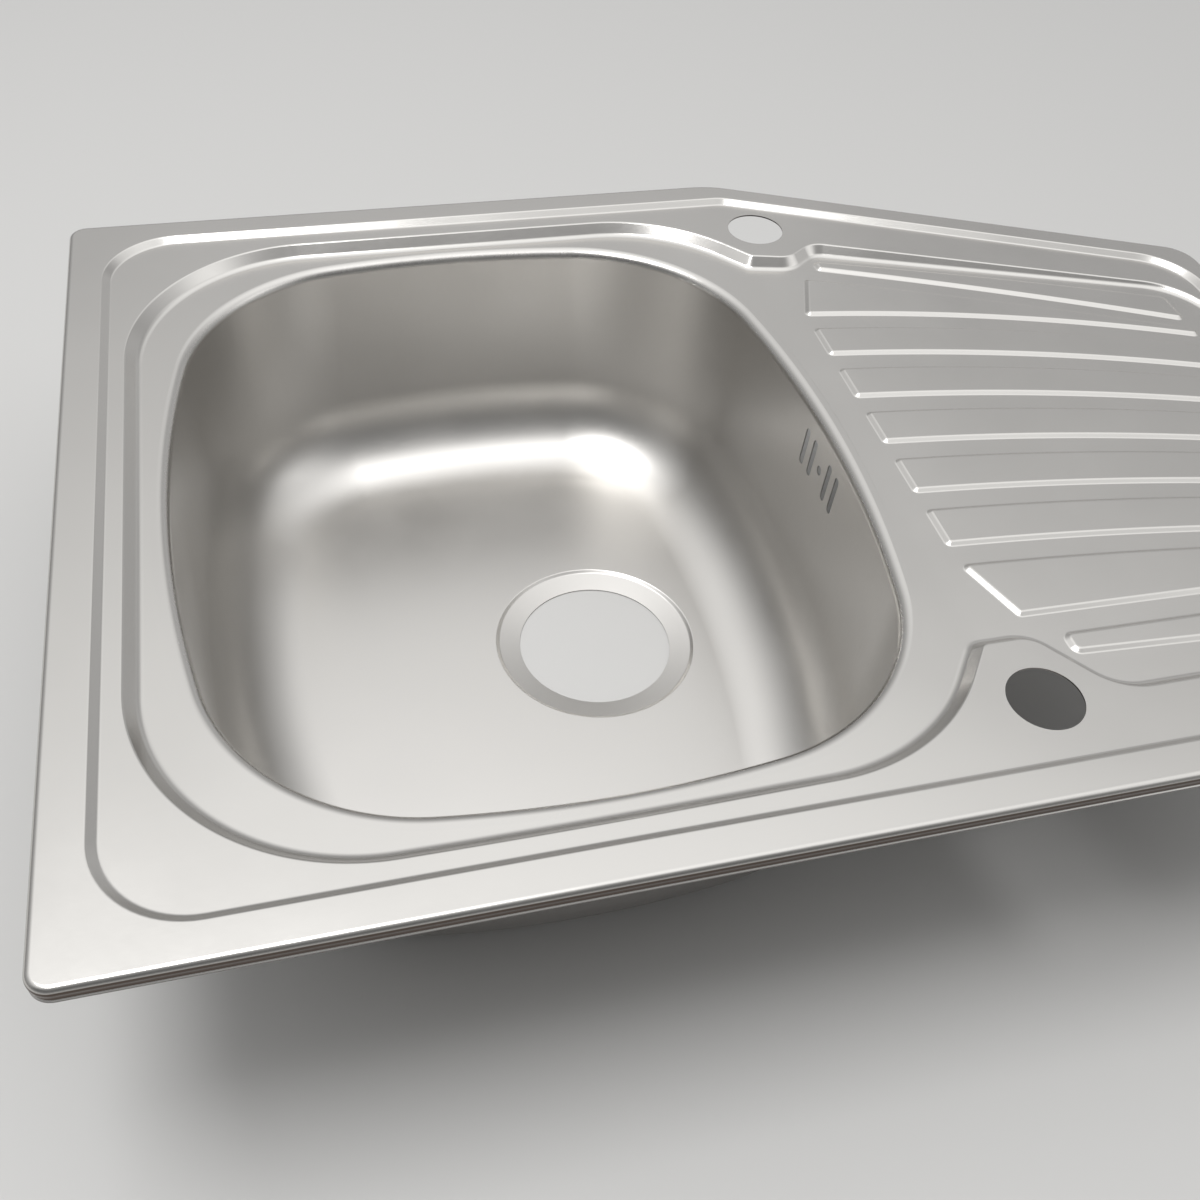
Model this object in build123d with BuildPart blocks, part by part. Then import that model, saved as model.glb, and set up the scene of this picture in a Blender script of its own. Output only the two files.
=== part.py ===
# An inset kitchen sink: a pressed steel top with a bowl, a ribbed drainer and swivel clamps below the rim.
# Millimetres. X runs along the sink to the drainer, Y to the rear and Z up.
# The origin is on the worktop's surface, under the middle of the sink's length and width.
import math
import os

from build123d import *

# Overall size of the pressed top
LENGTH = 690.0
SHEET = 0.8
BEND_FROM_LEFT = 401.0
SLANT_ANGLE = 22.5
CORNER_RADIUS = 10.0
LEAST_CORNER_RADIUS = 2.0
BEND_RADIUS = 60.0
SLANT_CORNER_RADIUS = 22.0

# Rim and its two steps down, each step given by where it starts, its run and its drop
RIM_HEIGHT = 8.5
SKIRT_HEIGHT = 8.0
EDGE_RADIUS = 3.0
RIM_WIDTH = 17.5
LEFT_RIM_WIDTH = 19.5
SLANT_RIM_WIDTH = 15.0
RIGHT_RIM_WIDTH = 12.0
FIRST_RUN = 3.8
FIRST_DROP = 3.2
FIRST_RADIUS = 42.0
FIRST_BEND_RADIUS = 25.0
SECOND_INSET = 31.5
SECOND_RUN = 6.0
SECOND_DROP = 6.4
SECOND_RADIUS = 102.0
SECOND_BOW = 2.2
SECOND_BOW_RADIUS = 4000.0

# Lands that carry the tap holes, between the bowl and the drainer
TAP_RADIUS = 17.5
TAP_FROM_LEFT = 416.5
TAP_INSET = 53.5
LAND_CORNER_FROM_LEFT = 361.0
LAND_TIP_FROM_LEFT = 404.0
LAND_TIP_INSET = 88.0
LAND_TIP_WIDTH = 23.0
LAND_TIP_RADIUS = 4.0
LAND_SHOULDER_RADIUS = 14.0
LAND_FOOT_RUN = 27.0
LAND_FOOT_RADIUS = 30.0
REAR_LAND_FOOT_RUN = 20.0
REAR_LAND_FOOT_RADIUS = 16.0
REAR_LAND_SLOPE = 5.0

# Drainer field and its raised panels
DRAINER_INSET = 51.0
REAR_FOOT_INSET = 51.0
SLANT_DRAINER_INSET = 42.0
RIGHT_DRAINER_INSET = 18.0
DRAINER_CORNER_RADIUS = 46.0
FOLD_FROM_LEFT = 405.0
FIELD_RISE = 4.0
PANEL_HEIGHT = 1.5
PANEL_SLOPE_RUN = 2.4
PANEL_CORNER_RADIUS = 3.4
PANEL_FROM_LEFT = 418.5
PANEL_END_MARGIN = 40.0
INNER_PANELS = 5
PANEL_INSET = 105.1
PANEL_GAP = 12.8
END_GAP = 9.8
BOW_SHARE = 0.13
WIDE_PANEL_WIDTH = 38.0
WIDE_PANEL_LEAN = 13.5
FRONT_WIDE_END_WIDTH = 16.6
REAR_WIDE_END_WIDTH = 8.93
REAR_EDGE_FROM_LEFT = 443.5
EDGE_BOW_SHARE = 0.03
REAR_EDGE_GAP = 7.0
REAR_EDGE_WIDTH = 10.5
REAR_EDGE_END_WIDTH = 26.0
FRONT_EDGE_FROM_LEFT = 446.5
FRONT_EDGE_CORNER_RADIUS = 5.0
FRONT_EDGE_INSET = 78.5
FRONT_EDGE_WIDTH = 13.4
FRONT_EDGE_END_INSET = 64.0
FRONT_EDGE_END_WIDTH = 22.0
REAR_CHANNEL = 8.0
FRONT_CHANNEL = 11.0

# Bowl
BOWL_FROM_LEFT = 51.0
BOWL_LENGTH = 342.0
BOWL_WIDTH = 404.0
BOWL_MARGIN = 48.0
SIDE_BOW_RADIUS = 620.0
END_BOW_RADIUS = 560.0
BOWL_CORNER_RADIUS = 103.0
BOWL_DEPTH = 141.0
BOWL_DRAFT = 2.5
LIP_RADIUS = 7.0
FLANGE_WIDTH = 2.0
FLOOR_RADIUS = 50.0

# Waste and overflow
WASTE_RADIUS = 45.0
WASTE_OFFSET = 49.5
RECESS_RADIUS = 59.0
RECESS_DEPTH = 3.8
RECESS_SLOPE_RUN = 3.0
SLOT_COUNT = 5
SLOT_PITCH = 10.7
SLOT_LENGTH = 24.0
SLOT_WIDTH = 5.2
SLOT_DROP = 35.8
OVERFLOW_SCREW_RADIUS = 2.75

# Seal, sound pad and earth tag
SEAL_INSET = 4.0
SEAL_WIDTH = 7.0
PAD_LENGTH = 84.0
PAD_WIDTH = 200.0
PAD_THICKNESS = 2.0
PAD_CORNER_RADIUS = 20.0
PAD_OFFSET = 70.0
TAG_WIDTH = 12.0
TAG_LENGTH = 22.0
TAG_THICKNESS = 1.5
TAG_HOLE_RADIUS = 2.6
TAG_FROM_BEND = 96.0

# Swivel clamps that pull the rim down on a worktop
CLAMP_SIDE_SPREAD = 100.0
CLAMP_NEAR = 150.0
CLAMP_FAR = 300.0
CLAMP_DRAINER = 580.0
THICKEST_WORKTOP = 44.0
THINNEST_WORKTOP = 26.0
STRAP = 1.5
HANGER_DEPTH = 7.2
HANGER_SPAN = 19.0
HANGER_FOOT = 8.0
NUT_SIZE = 8.0
NUT_HEIGHT = 4.0
SCREW_RADIUS = 2.4
SCREW_STICK_OUT = 1.0
TIP_CLEARANCE = 1.5
HEAD_SIZE = 8.0
HEAD_SIDES = 6
HEAD_HEIGHT = 3.6
HEAD_SLOT_WIDTH = 1.2
HEAD_SLOT_DEPTH = 1.4
THREAD_CLEARANCE = 0.1
HOLE_CLEARANCE = 0.3
WASHER_RADIUS = 5.2
WASHER_THICKNESS = 1.0
CLAW_WIDTH = 10.0
CLAW_THICKNESS = 2.5
CLAW_REACH = 26.0
CLAW_RISE = 7.0
TOOTH_COUNT = 3
TOOTH_HEIGHT = 1.6

# The top is as wide as the bowl and the margins before and behind it
WIDTH = BOWL_WIDTH + 2 * BOWL_MARGIN

# Heights of the top's surfaces above the worktop
RIM_TOP = RIM_HEIGHT
DECK_TOP = RIM_TOP - FIRST_DROP
SURROUND_TOP = DECK_TOP - SECOND_DROP
FLOOR_TOP = SURROUND_TOP - BOWL_DEPTH

# The fixings stand under the middle of the deck strip between the two steps
FRONT_CLAMP_INSET = (RIM_WIDTH + FIRST_RUN + SECOND_INSET - SECOND_BOW) / 2
REAR_CLAMP_INSET = (RIM_WIDTH + FIRST_RUN + SECOND_INSET) / 2
LEFT_CLAMP_INSET = (LEFT_RIM_WIDTH + FIRST_RUN + SECOND_INSET) / 2

# A hanger leaves room for its screw to climb from the thickest worktop to the thinnest,
# and let down for the thickest one, the screw still sticks out of its nut
HANGER_HEIGHT = STRAP + NUT_HEIGHT + SCREW_STICK_OUT + THICKEST_WORKTOP - THINNEST_WORKTOP + TIP_CLEARANCE

# Room below the lowest step, for the blocks that the sheet is cut from
BLOCK_MARGIN = 10.0
BLOCK_DEPTH = FIRST_DROP + SECOND_DROP + BLOCK_MARGIN


def place(from_left, from_front):
    """A plan point measured from the left and the front edge."""
    return (from_left - LENGTH / 2, from_front - WIDTH / 2)


def slant_line(from_left, inset):
    """Distance from the front edge to a line inside the slanted rear edge."""
    run = from_left - BEND_FROM_LEFT
    angle = math.radians(SLANT_ANGLE)
    return WIDTH - (run * math.sin(angle) + inset) / math.cos(angle)


def bend_from_left(inset, slant_inset):
    """Where a line inside the rear edge meets one inside the slanted edge."""
    angle = math.radians(SLANT_ANGLE)
    return BEND_FROM_LEFT + (inset * math.cos(angle) - slant_inset) / math.sin(angle)


def rim_corners(inset, left_inset, slant_inset, right_inset):
    """The five corners of the top's outline, moved in from its edges."""
    right = LENGTH - right_inset
    bend = bend_from_left(inset, slant_inset)
    return [
        place(left_inset, inset),
        place(right, inset),
        place(right, slant_line(right, slant_inset)),
        place(bend, WIDTH - inset),
        place(left_inset, WIDTH - inset),
    ]


def outline_face(inset):
    """The top's outline, moved in by one distance all round."""
    corner = max(CORNER_RADIUS - inset, LEAST_CORNER_RADIUS)
    slant_corner = max(SLANT_CORNER_RADIUS - inset, LEAST_CORNER_RADIUS)
    radii = [corner, corner, slant_corner, BEND_RADIUS - inset, corner]
    with BuildSketch() as face:
        with BuildLine():
            FilletPolyline(*rim_corners(inset, inset, inset, inset), radius=radii, close=True)
        make_face()
    return face.sketch


def first_step_face(spread):
    """The upper edge of the first step, spread outwards."""
    widths = RIM_WIDTH, LEFT_RIM_WIDTH, SLANT_RIM_WIDTH, RIGHT_RIM_WIDTH
    radii = [FIRST_RADIUS, FIRST_RADIUS, FIRST_RADIUS, FIRST_BEND_RADIUS, FIRST_RADIUS]
    with BuildSketch() as face:
        with BuildLine():
            corners = rim_corners(*[width - spread for width in widths])
            FilletPolyline(*corners, radius=radii, close=True)
        make_face()
    return face.sketch


def second_step_face(spread):
    """The upper edge of the second step: round the bowl, round both lands and round the drainer."""
    right = LENGTH - RIGHT_DRAINER_INSET
    tip_right = LAND_TIP_FROM_LEFT + LAND_TIP_WIDTH
    foot = tip_right + LAND_FOOT_RUN
    rear_foot = tip_right + REAR_LAND_FOOT_RUN
    rear_tip = WIDTH - LAND_TIP_INSET
    bow_from_left = (SECOND_INSET + LAND_CORNER_FROM_LEFT) / 2
    path = [
        (place(SECOND_INSET, SECOND_INSET), SECOND_RADIUS),
        (place(bow_from_left, SECOND_INSET - SECOND_BOW), SECOND_BOW_RADIUS),
        (place(LAND_CORNER_FROM_LEFT, SECOND_INSET), SECOND_RADIUS),
        (place(LAND_TIP_FROM_LEFT, LAND_TIP_INSET), LAND_TIP_RADIUS),
        (place(tip_right, LAND_TIP_INSET), LAND_SHOULDER_RADIUS),
        (place(foot, DRAINER_INSET), LAND_FOOT_RADIUS),
        (place(right, DRAINER_INSET), DRAINER_CORNER_RADIUS),
        (place(right, slant_line(right, SLANT_DRAINER_INSET)), DRAINER_CORNER_RADIUS),
        (place(rear_foot, slant_line(rear_foot, REAR_FOOT_INSET)), REAR_LAND_FOOT_RADIUS),
        (place(tip_right, rear_tip), LAND_SHOULDER_RADIUS),
        (place(LAND_TIP_FROM_LEFT, rear_tip + REAR_LAND_SLOPE), LAND_TIP_RADIUS),
        (place(LAND_CORNER_FROM_LEFT, WIDTH - SECOND_INSET), SECOND_RADIUS),
        (place(SECOND_INSET, WIDTH - SECOND_INSET), SECOND_RADIUS),
    ]
    with BuildSketch() as face:
        with BuildLine():
            FilletPolyline(
                *[corner for corner, _ in path],
                radius=[radius for _, radius in path],
                close=True,
            )
        make_face()
        if spread:
            offset(amount=spread)
    return face.sketch


def sheet_spread(run, drop, lowered):
    """How far a step's lower side stands outside its upper side, for an even sheet."""
    return lowered * (math.hypot(run, drop) - run) / drop


def step_taper(run, drop):
    """The angle that gives a step its run over its drop."""
    return math.degrees(math.atan2(run, drop))


def field_plane(lowered):
    """The drainer's field, which falls towards the bowl from its far end."""
    field_length = LENGTH - RIGHT_DRAINER_INSET - FOLD_FROM_LEFT
    x, y = place(FOLD_FROM_LEFT, WIDTH / 2)
    return Plane(
        origin=(x, y, SURROUND_TOP - lowered),
        x_dir=(field_length, 0, FIELD_RISE),
        z_dir=(-FIELD_RISE, 0, field_length),
    )


def panel_corners():
    """Each raised panel: the two ends of its front and rear lines, the bow of both and its corner radius."""
    start = PANEL_FROM_LEFT
    end = LENGTH - PANEL_END_MARGIN

    # the slim panel along the front edge, and the one along the slanted rear edge
    edge = FRONT_EDGE_FROM_LEFT
    front_end = FRONT_EDGE_END_INSET + FRONT_EDGE_END_WIDTH
    front = (edge, FRONT_EDGE_INSET), (end, FRONT_EDGE_END_INSET)
    rear = (edge, FRONT_EDGE_INSET + FRONT_EDGE_WIDTH), (end, front_end)
    panels = [(front, rear, EDGE_BOW_SHARE, EDGE_BOW_SHARE, FRONT_EDGE_CORNER_RADIUS)]
    edge = REAR_EDGE_FROM_LEFT
    gap = SECOND_RUN + REAR_EDGE_GAP
    rear_near = slant_line(edge, REAR_FOOT_INSET + gap)
    rear_far = slant_line(end, SLANT_DRAINER_INSET + gap)
    rear_end = rear_far - REAR_EDGE_END_WIDTH
    front = (edge, rear_near - REAR_EDGE_WIDTH), (end, rear_end)
    rear = (edge, rear_near), (end, rear_far)
    panels.append((front, rear, EDGE_BOW_SHARE, EDGE_BOW_SHARE, PANEL_CORNER_RADIUS))

    # the panels between them share the room that the channels leave, with a wide one at either side
    channels = INNER_PANELS + 1
    near_room = WIDTH - 2 * (PANEL_INSET + WIDE_PANEL_WIDTH)
    near_width = (near_room - channels * PANEL_GAP) / INNER_PANELS
    far_start = front_end + FRONT_CHANNEL
    far_stop = rear_end - REAR_CHANNEL
    far_room = far_stop - far_start - FRONT_WIDE_END_WIDTH - REAR_WIDE_END_WIDTH
    far_width = (far_room - channels * END_GAP) / INNER_PANELS
    near = PANEL_INSET + WIDE_PANEL_WIDTH
    far = far_start + FRONT_WIDE_END_WIDTH
    front = (start + WIDE_PANEL_LEAN, PANEL_INSET), (end, far_start)
    rear = (start, near), (end, far)
    panels.append((front, rear, EDGE_BOW_SHARE, BOW_SHARE, PANEL_CORNER_RADIUS))
    for _ in range(INNER_PANELS):
        near += PANEL_GAP
        far += END_GAP
        front = (start, near), (end, far)
        near += near_width
        far += far_width
        rear = (start, near), (end, far)
        panels.append((front, rear, BOW_SHARE, BOW_SHARE, PANEL_CORNER_RADIUS))
    near += PANEL_GAP
    front = (start, near), (end, far + END_GAP)
    rear = (start + WIDE_PANEL_LEAN, near + WIDE_PANEL_WIDTH), (end, far_stop)
    panels.append((front, rear, BOW_SHARE, EDGE_BOW_SHARE, PANEL_CORNER_RADIUS))
    return panels


def field_point(point):
    """A plan point in the field plane's own coordinates."""
    from_left, from_front = point
    return (from_left - FOLD_FROM_LEFT, from_front - WIDTH / 2)


def bowed_middle(start, end, share):
    """The middle of a panel's line, which bows to the rear by a share of its fall."""
    return ((start[0] + end[0]) / 2, (start[1] + end[1]) / 2 + share * (start[1] - end[1]))


def panel_face(front, rear, front_bow, rear_bow, corner_radius, shrunk):
    """One panel's foot on the drainer's field."""
    front_start, front_end = (field_point(point) for point in front)
    rear_start, rear_end = (field_point(point) for point in rear)
    with BuildSketch() as face:
        with BuildLine():
            ThreePointArc(front_start, bowed_middle(front_start, front_end, front_bow), front_end)
            Line(front_end, rear_end)
            ThreePointArc(rear_end, bowed_middle(rear_start, rear_end, rear_bow), rear_start)
            Line(rear_start, front_start)
        make_face()
        fillet(face.vertices(), corner_radius)
        if shrunk:
            offset(amount=-shrunk)
    return face.sketch


def second_pocket(lowered):
    """The hollow of the second step, with the drainer's field and panels as its floor."""
    spread = sheet_spread(SECOND_RUN, SECOND_DROP, lowered)
    shrunk = sheet_spread(PANEL_SLOPE_RUN, PANEL_HEIGHT, lowered)
    field = field_plane(lowered)
    with BuildPart() as pocket:
        with BuildSketch(Plane.XY.offset(DECK_TOP - lowered)):
            add(second_step_face(spread))
        extrude(amount=-SECOND_DROP, taper=step_taper(SECOND_RUN, SECOND_DROP))
        with BuildSketch(field):
            Rectangle(LENGTH, WIDTH, align=(Align.MIN, Align.CENTER))
        extrude(amount=-BLOCK_DEPTH, mode=Mode.SUBTRACT)
        for panel in panel_corners():
            with BuildSketch(field):
                add(panel_face(*panel, shrunk))
            extrude(
                amount=PANEL_HEIGHT,
                taper=step_taper(PANEL_SLOPE_RUN, PANEL_HEIGHT),
                mode=Mode.SUBTRACT,
            )
    return pocket.part


def pressed_block(lowered):
    """A block under the top's upper surface, or under its lower surface when lowered by the sheet."""
    spread = sheet_spread(FIRST_RUN, FIRST_DROP, lowered)
    with BuildPart() as block:
        with BuildSketch(Plane.XY.offset(RIM_TOP - lowered)):
            add(outline_face(lowered))
        extrude(amount=-BLOCK_DEPTH)
        fillet(block.edges().group_by(Axis.Z)[-1], EDGE_RADIUS - lowered)
        with BuildSketch(Plane.XY.offset(RIM_TOP - lowered)):
            add(first_step_face(spread))
        extrude(
            amount=-FIRST_DROP, taper=step_taper(FIRST_RUN, FIRST_DROP), mode=Mode.SUBTRACT
        )
        add(second_pocket(lowered), mode=Mode.SUBTRACT)
    return block.part


def bowl_arcs(grown):
    """The bowl's outline as arcs: four bowed sides and four corners, grown outwards."""
    half_length = BOWL_LENGTH / 2 + grown
    half_width = BOWL_WIDTH / 2 + grown
    side = SIDE_BOW_RADIUS + grown
    end = END_BOW_RADIUS + grown
    corner = BOWL_CORNER_RADIUS + grown
    side_centre = half_length - side
    end_centre = half_width - end

    # a corner's centre lies this far from the centres of the two sides that it joins
    side_reach = side - corner
    end_reach = end - corner
    apart = math.hypot(side_centre, end_centre)
    along = (apart**2 + side_reach**2 - end_reach**2) / (2 * apart)
    across = math.sqrt(side_reach**2 - along**2)
    towards = (-side_centre / apart, end_centre / apart)
    x = side_centre + along * towards[0] - across * towards[1]
    y = along * towards[1] + across * towards[0]
    side_angle = math.degrees(math.atan2(y, x - side_centre))
    end_angle = math.degrees(math.atan2(y - end_centre, x))
    quarter = [
        ((side_centre, 0), side, -side_angle, side_angle),
        ((x, y), corner, side_angle, end_angle),
        ((0, end_centre), end, end_angle, 180 - end_angle),
        ((-x, y), corner, 180 - end_angle, 180 - side_angle),
    ]
    opposite = [((-c[0], -c[1]), r, first + 180, last + 180) for c, r, first, last in quarter]
    return quarter + opposite


def bowl_face(grown):
    """The bowl's outline as a face about its own centre."""
    with BuildSketch() as face:
        with BuildLine():
            for (x, y), radius, first, last in bowl_arcs(grown):
                angles = [math.radians(angle) for angle in (first, (first + last) / 2, last)]
                ThreePointArc(*[(x + radius * math.cos(a), y + radius * math.sin(a)) for a in angles])
        make_face()
    return face.sketch


# Plan points that several pieces share
BOWL_CENTRE = place(BOWL_FROM_LEFT + BOWL_LENGTH / 2, WIDTH / 2)
WASTE_CENTRE = (BOWL_CENTRE[0] + WASTE_OFFSET, BOWL_CENTRE[1])


def bowl_plane(height):
    """A level plane with its origin over the bowl's centre."""
    return Plane(origin=(*BOWL_CENTRE, height))


def bowl_cavity(grown):
    """The bowl's hollow, or the hollow that its outside would fill when grown by the sheet."""
    with BuildPart() as cavity:
        with BuildSketch(bowl_plane(SURROUND_TOP - grown)):
            add(bowl_face(grown))
        extrude(amount=-BOWL_DEPTH, taper=BOWL_DRAFT)
        fillet(cavity.edges().group_by(Axis.Z)[0], FLOOR_RADIUS + grown)
        with BuildSketch(Plane(origin=(*WASTE_CENTRE, FLOOR_TOP - grown))):
            Circle(RECESS_RADIUS + sheet_spread(RECESS_SLOPE_RUN, RECESS_DEPTH, grown))
        extrude(amount=-RECESS_DEPTH, taper=step_taper(RECESS_SLOPE_RUN, RECESS_DEPTH))
    return cavity.part


def bowl_block(grown, margin):
    """A block with the bowl's hollow and rounded lip in its top."""
    with BuildPart() as block:
        with BuildSketch(bowl_plane(SURROUND_TOP - grown)):
            add(bowl_face(LIP_RADIUS + FLANGE_WIDTH + margin))
        extrude(amount=-(BOWL_DEPTH + RECESS_DEPTH + BLOCK_MARGIN))
        add(bowl_cavity(grown), mode=Mode.SUBTRACT)
        mouth = block.faces().sort_by(Axis.Z)[-1].inner_wires()[0]
        fillet(mouth.edges(), LIP_RADIUS - grown)
    return block.part


# Pressed top: rim, deck, drainer and the opening that the bowl is welded into
with BuildPart() as sink_top:
    add(pressed_block(0))
    add(pressed_block(SHEET), mode=Mode.SUBTRACT)
    with BuildSketch(Plane.XY.offset(RIM_TOP - SKIRT_HEIGHT)):
        add(outline_face(0))
        offset(amount=BLOCK_MARGIN)
        add(outline_face(SEAL_INSET), mode=Mode.SUBTRACT)
    extrude(amount=-BLOCK_DEPTH, mode=Mode.SUBTRACT)
    with BuildSketch(bowl_plane(SURROUND_TOP - BLOCK_DEPTH)):
        add(bowl_face(LIP_RADIUS + FLANGE_WIDTH))
    extrude(amount=2 * BLOCK_DEPTH, mode=Mode.SUBTRACT)
    with BuildSketch(Plane.XY.offset(DECK_TOP - BLOCK_DEPTH)):
        with Locations(
            place(TAP_FROM_LEFT, TAP_INSET), place(TAP_FROM_LEFT, WIDTH - TAP_INSET)
        ):
            Circle(TAP_RADIUS)
    extrude(amount=2 * BLOCK_DEPTH, mode=Mode.SUBTRACT)

# Bowl: a drawn shell with a rounded lip, a waste seat and overflow slots in its right wall
with BuildPart() as bowl:
    add(bowl_block(0, 0))
    add(bowl_block(SHEET, BLOCK_MARGIN), mode=Mode.SUBTRACT)
    with BuildSketch(Plane(origin=(*WASTE_CENTRE, FLOOR_TOP))):
        Circle(WASTE_RADIUS)
    extrude(amount=-(RECESS_DEPTH + BLOCK_MARGIN), mode=Mode.SUBTRACT)
    overflow_plane = Plane(
        origin=(*BOWL_CENTRE, RIM_TOP - SLOT_DROP), x_dir=(0, 1, 0), z_dir=(1, 0, 0)
    )
    with BuildSketch(overflow_plane):
        for slot in range(SLOT_COUNT):
            with Locations((SLOT_PITCH * (slot - SLOT_COUNT // 2), 0)):
                if slot == SLOT_COUNT // 2:
                    Circle(OVERFLOW_SCREW_RADIUS)
                else:
                    SlotOverall(SLOT_LENGTH, SLOT_WIDTH, rotation=90)
    extrude(amount=BOWL_LENGTH, mode=Mode.SUBTRACT)

# Seal: a closed foam strip stuck under the rim
with BuildPart() as rim_seal:
    with BuildSketch():
        add(outline_face(SEAL_INSET))
        add(outline_face(SEAL_INSET + SEAL_WIDTH), mode=Mode.SUBTRACT)
    extrude(amount=RIM_TOP - SHEET)

# Sound pad: a damping sheet stuck under the bowl's floor
with BuildPart() as sound_pad:
    with BuildSketch(bowl_plane(FLOOR_TOP - SHEET)):
        with Locations((-PAD_OFFSET, 0)):
            RectangleRounded(PAD_LENGTH, PAD_WIDTH, PAD_CORNER_RADIUS)
    extrude(amount=-PAD_THICKNESS)

# Underside of the deck strip, which the fixings are welded to
DECK_UNDER = DECK_TOP - SHEET


def slant_place(along, inset):
    """A plan point inside the slanted edge, measured along it from the bend."""
    angle = math.radians(SLANT_ANGLE)
    x = BEND_FROM_LEFT + along * math.cos(angle) - inset * math.sin(angle)
    y = WIDTH - along * math.sin(angle) - inset * math.cos(angle)
    return place(x, y)


def edge_plane(point, outward_angle, height):
    """A level plane under the deck whose Y axis points out of the sink."""
    along = math.radians(outward_angle - 90)
    return Plane(origin=(*point, height), x_dir=(math.cos(along), math.sin(along), 0))


def upright_plane(point, outward_angle):
    """An upright plane along an edge, with its Y axis up and its origin under the deck."""
    level = edge_plane(point, outward_angle, DECK_UNDER)
    return Plane(origin=level.origin, x_dir=level.x_dir, z_dir=-level.y_dir)


# Earth tag: a bent steel tab with a hole for a bonding wire
tag_place = slant_place(TAG_FROM_BEND, REAR_CLAMP_INSET)
tag_outward = 90 - SLANT_ANGLE
with BuildPart() as earth_tag:
    with BuildSketch(edge_plane(tag_place, tag_outward, DECK_UNDER)):
        Rectangle(TAG_WIDTH, HANGER_DEPTH)
    extrude(amount=-TAG_THICKNESS)
    with BuildSketch(upright_plane(tag_place, tag_outward)) as tab:
        Rectangle(TAG_WIDTH, TAG_LENGTH, align=(Align.CENTER, Align.MAX))
        fillet(tab.vertices().group_by(Axis.Z)[0], TAG_WIDTH / 2 - TAG_THICKNESS)
        with Locations((0, TAG_WIDTH / 2 - TAG_LENGTH)):
            Circle(TAG_HOLE_RADIUS, mode=Mode.SUBTRACT)
    extrude(amount=TAG_THICKNESS)

pieces = {
    "sink_top": sink_top.part,
    "bowl": bowl.part,
    "rim_seal": rim_seal.part,
    "sound_pad": sound_pad.part,
    "earth_tag": earth_tag.part,
}

# Each clamp's screw axis, and the direction out of the sink there
slant_length = (CLAMP_DRAINER - BEND_FROM_LEFT) / math.cos(math.radians(SLANT_ANGLE))
clamps = {
    "left_front": (place(LEFT_CLAMP_INSET, WIDTH / 2 - CLAMP_SIDE_SPREAD), 180),
    "left_rear": (place(LEFT_CLAMP_INSET, WIDTH / 2 + CLAMP_SIDE_SPREAD), 180),
    "front_near": (place(CLAMP_NEAR, FRONT_CLAMP_INSET), 270),
    "front_far": (place(CLAMP_FAR, FRONT_CLAMP_INSET), 270),
    "front_drainer": (place(CLAMP_DRAINER, FRONT_CLAMP_INSET), 270),
    "rear_near": (place(CLAMP_NEAR, WIDTH - REAR_CLAMP_INSET), 90),
    "rear_far": (place(CLAMP_FAR, WIDTH - REAR_CLAMP_INSET), 90),
    "rear_drainer": (slant_place(slant_length, REAR_CLAMP_INSET), 90 - SLANT_ANGLE),
}

# Heights in a clamp that is drawn up for the thinnest worktop
PLATE_TOP = DECK_UNDER - HANGER_HEIGHT + STRAP
SCREW_TOP = DECK_UNDER - TIP_CLEARANCE
CLAW_TOP = -THINNEST_WORKTOP
ARM_UNDER = CLAW_TOP - CLAW_RISE
WASHER_UNDER = ARM_UNDER - WASHER_THICKNESS

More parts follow.
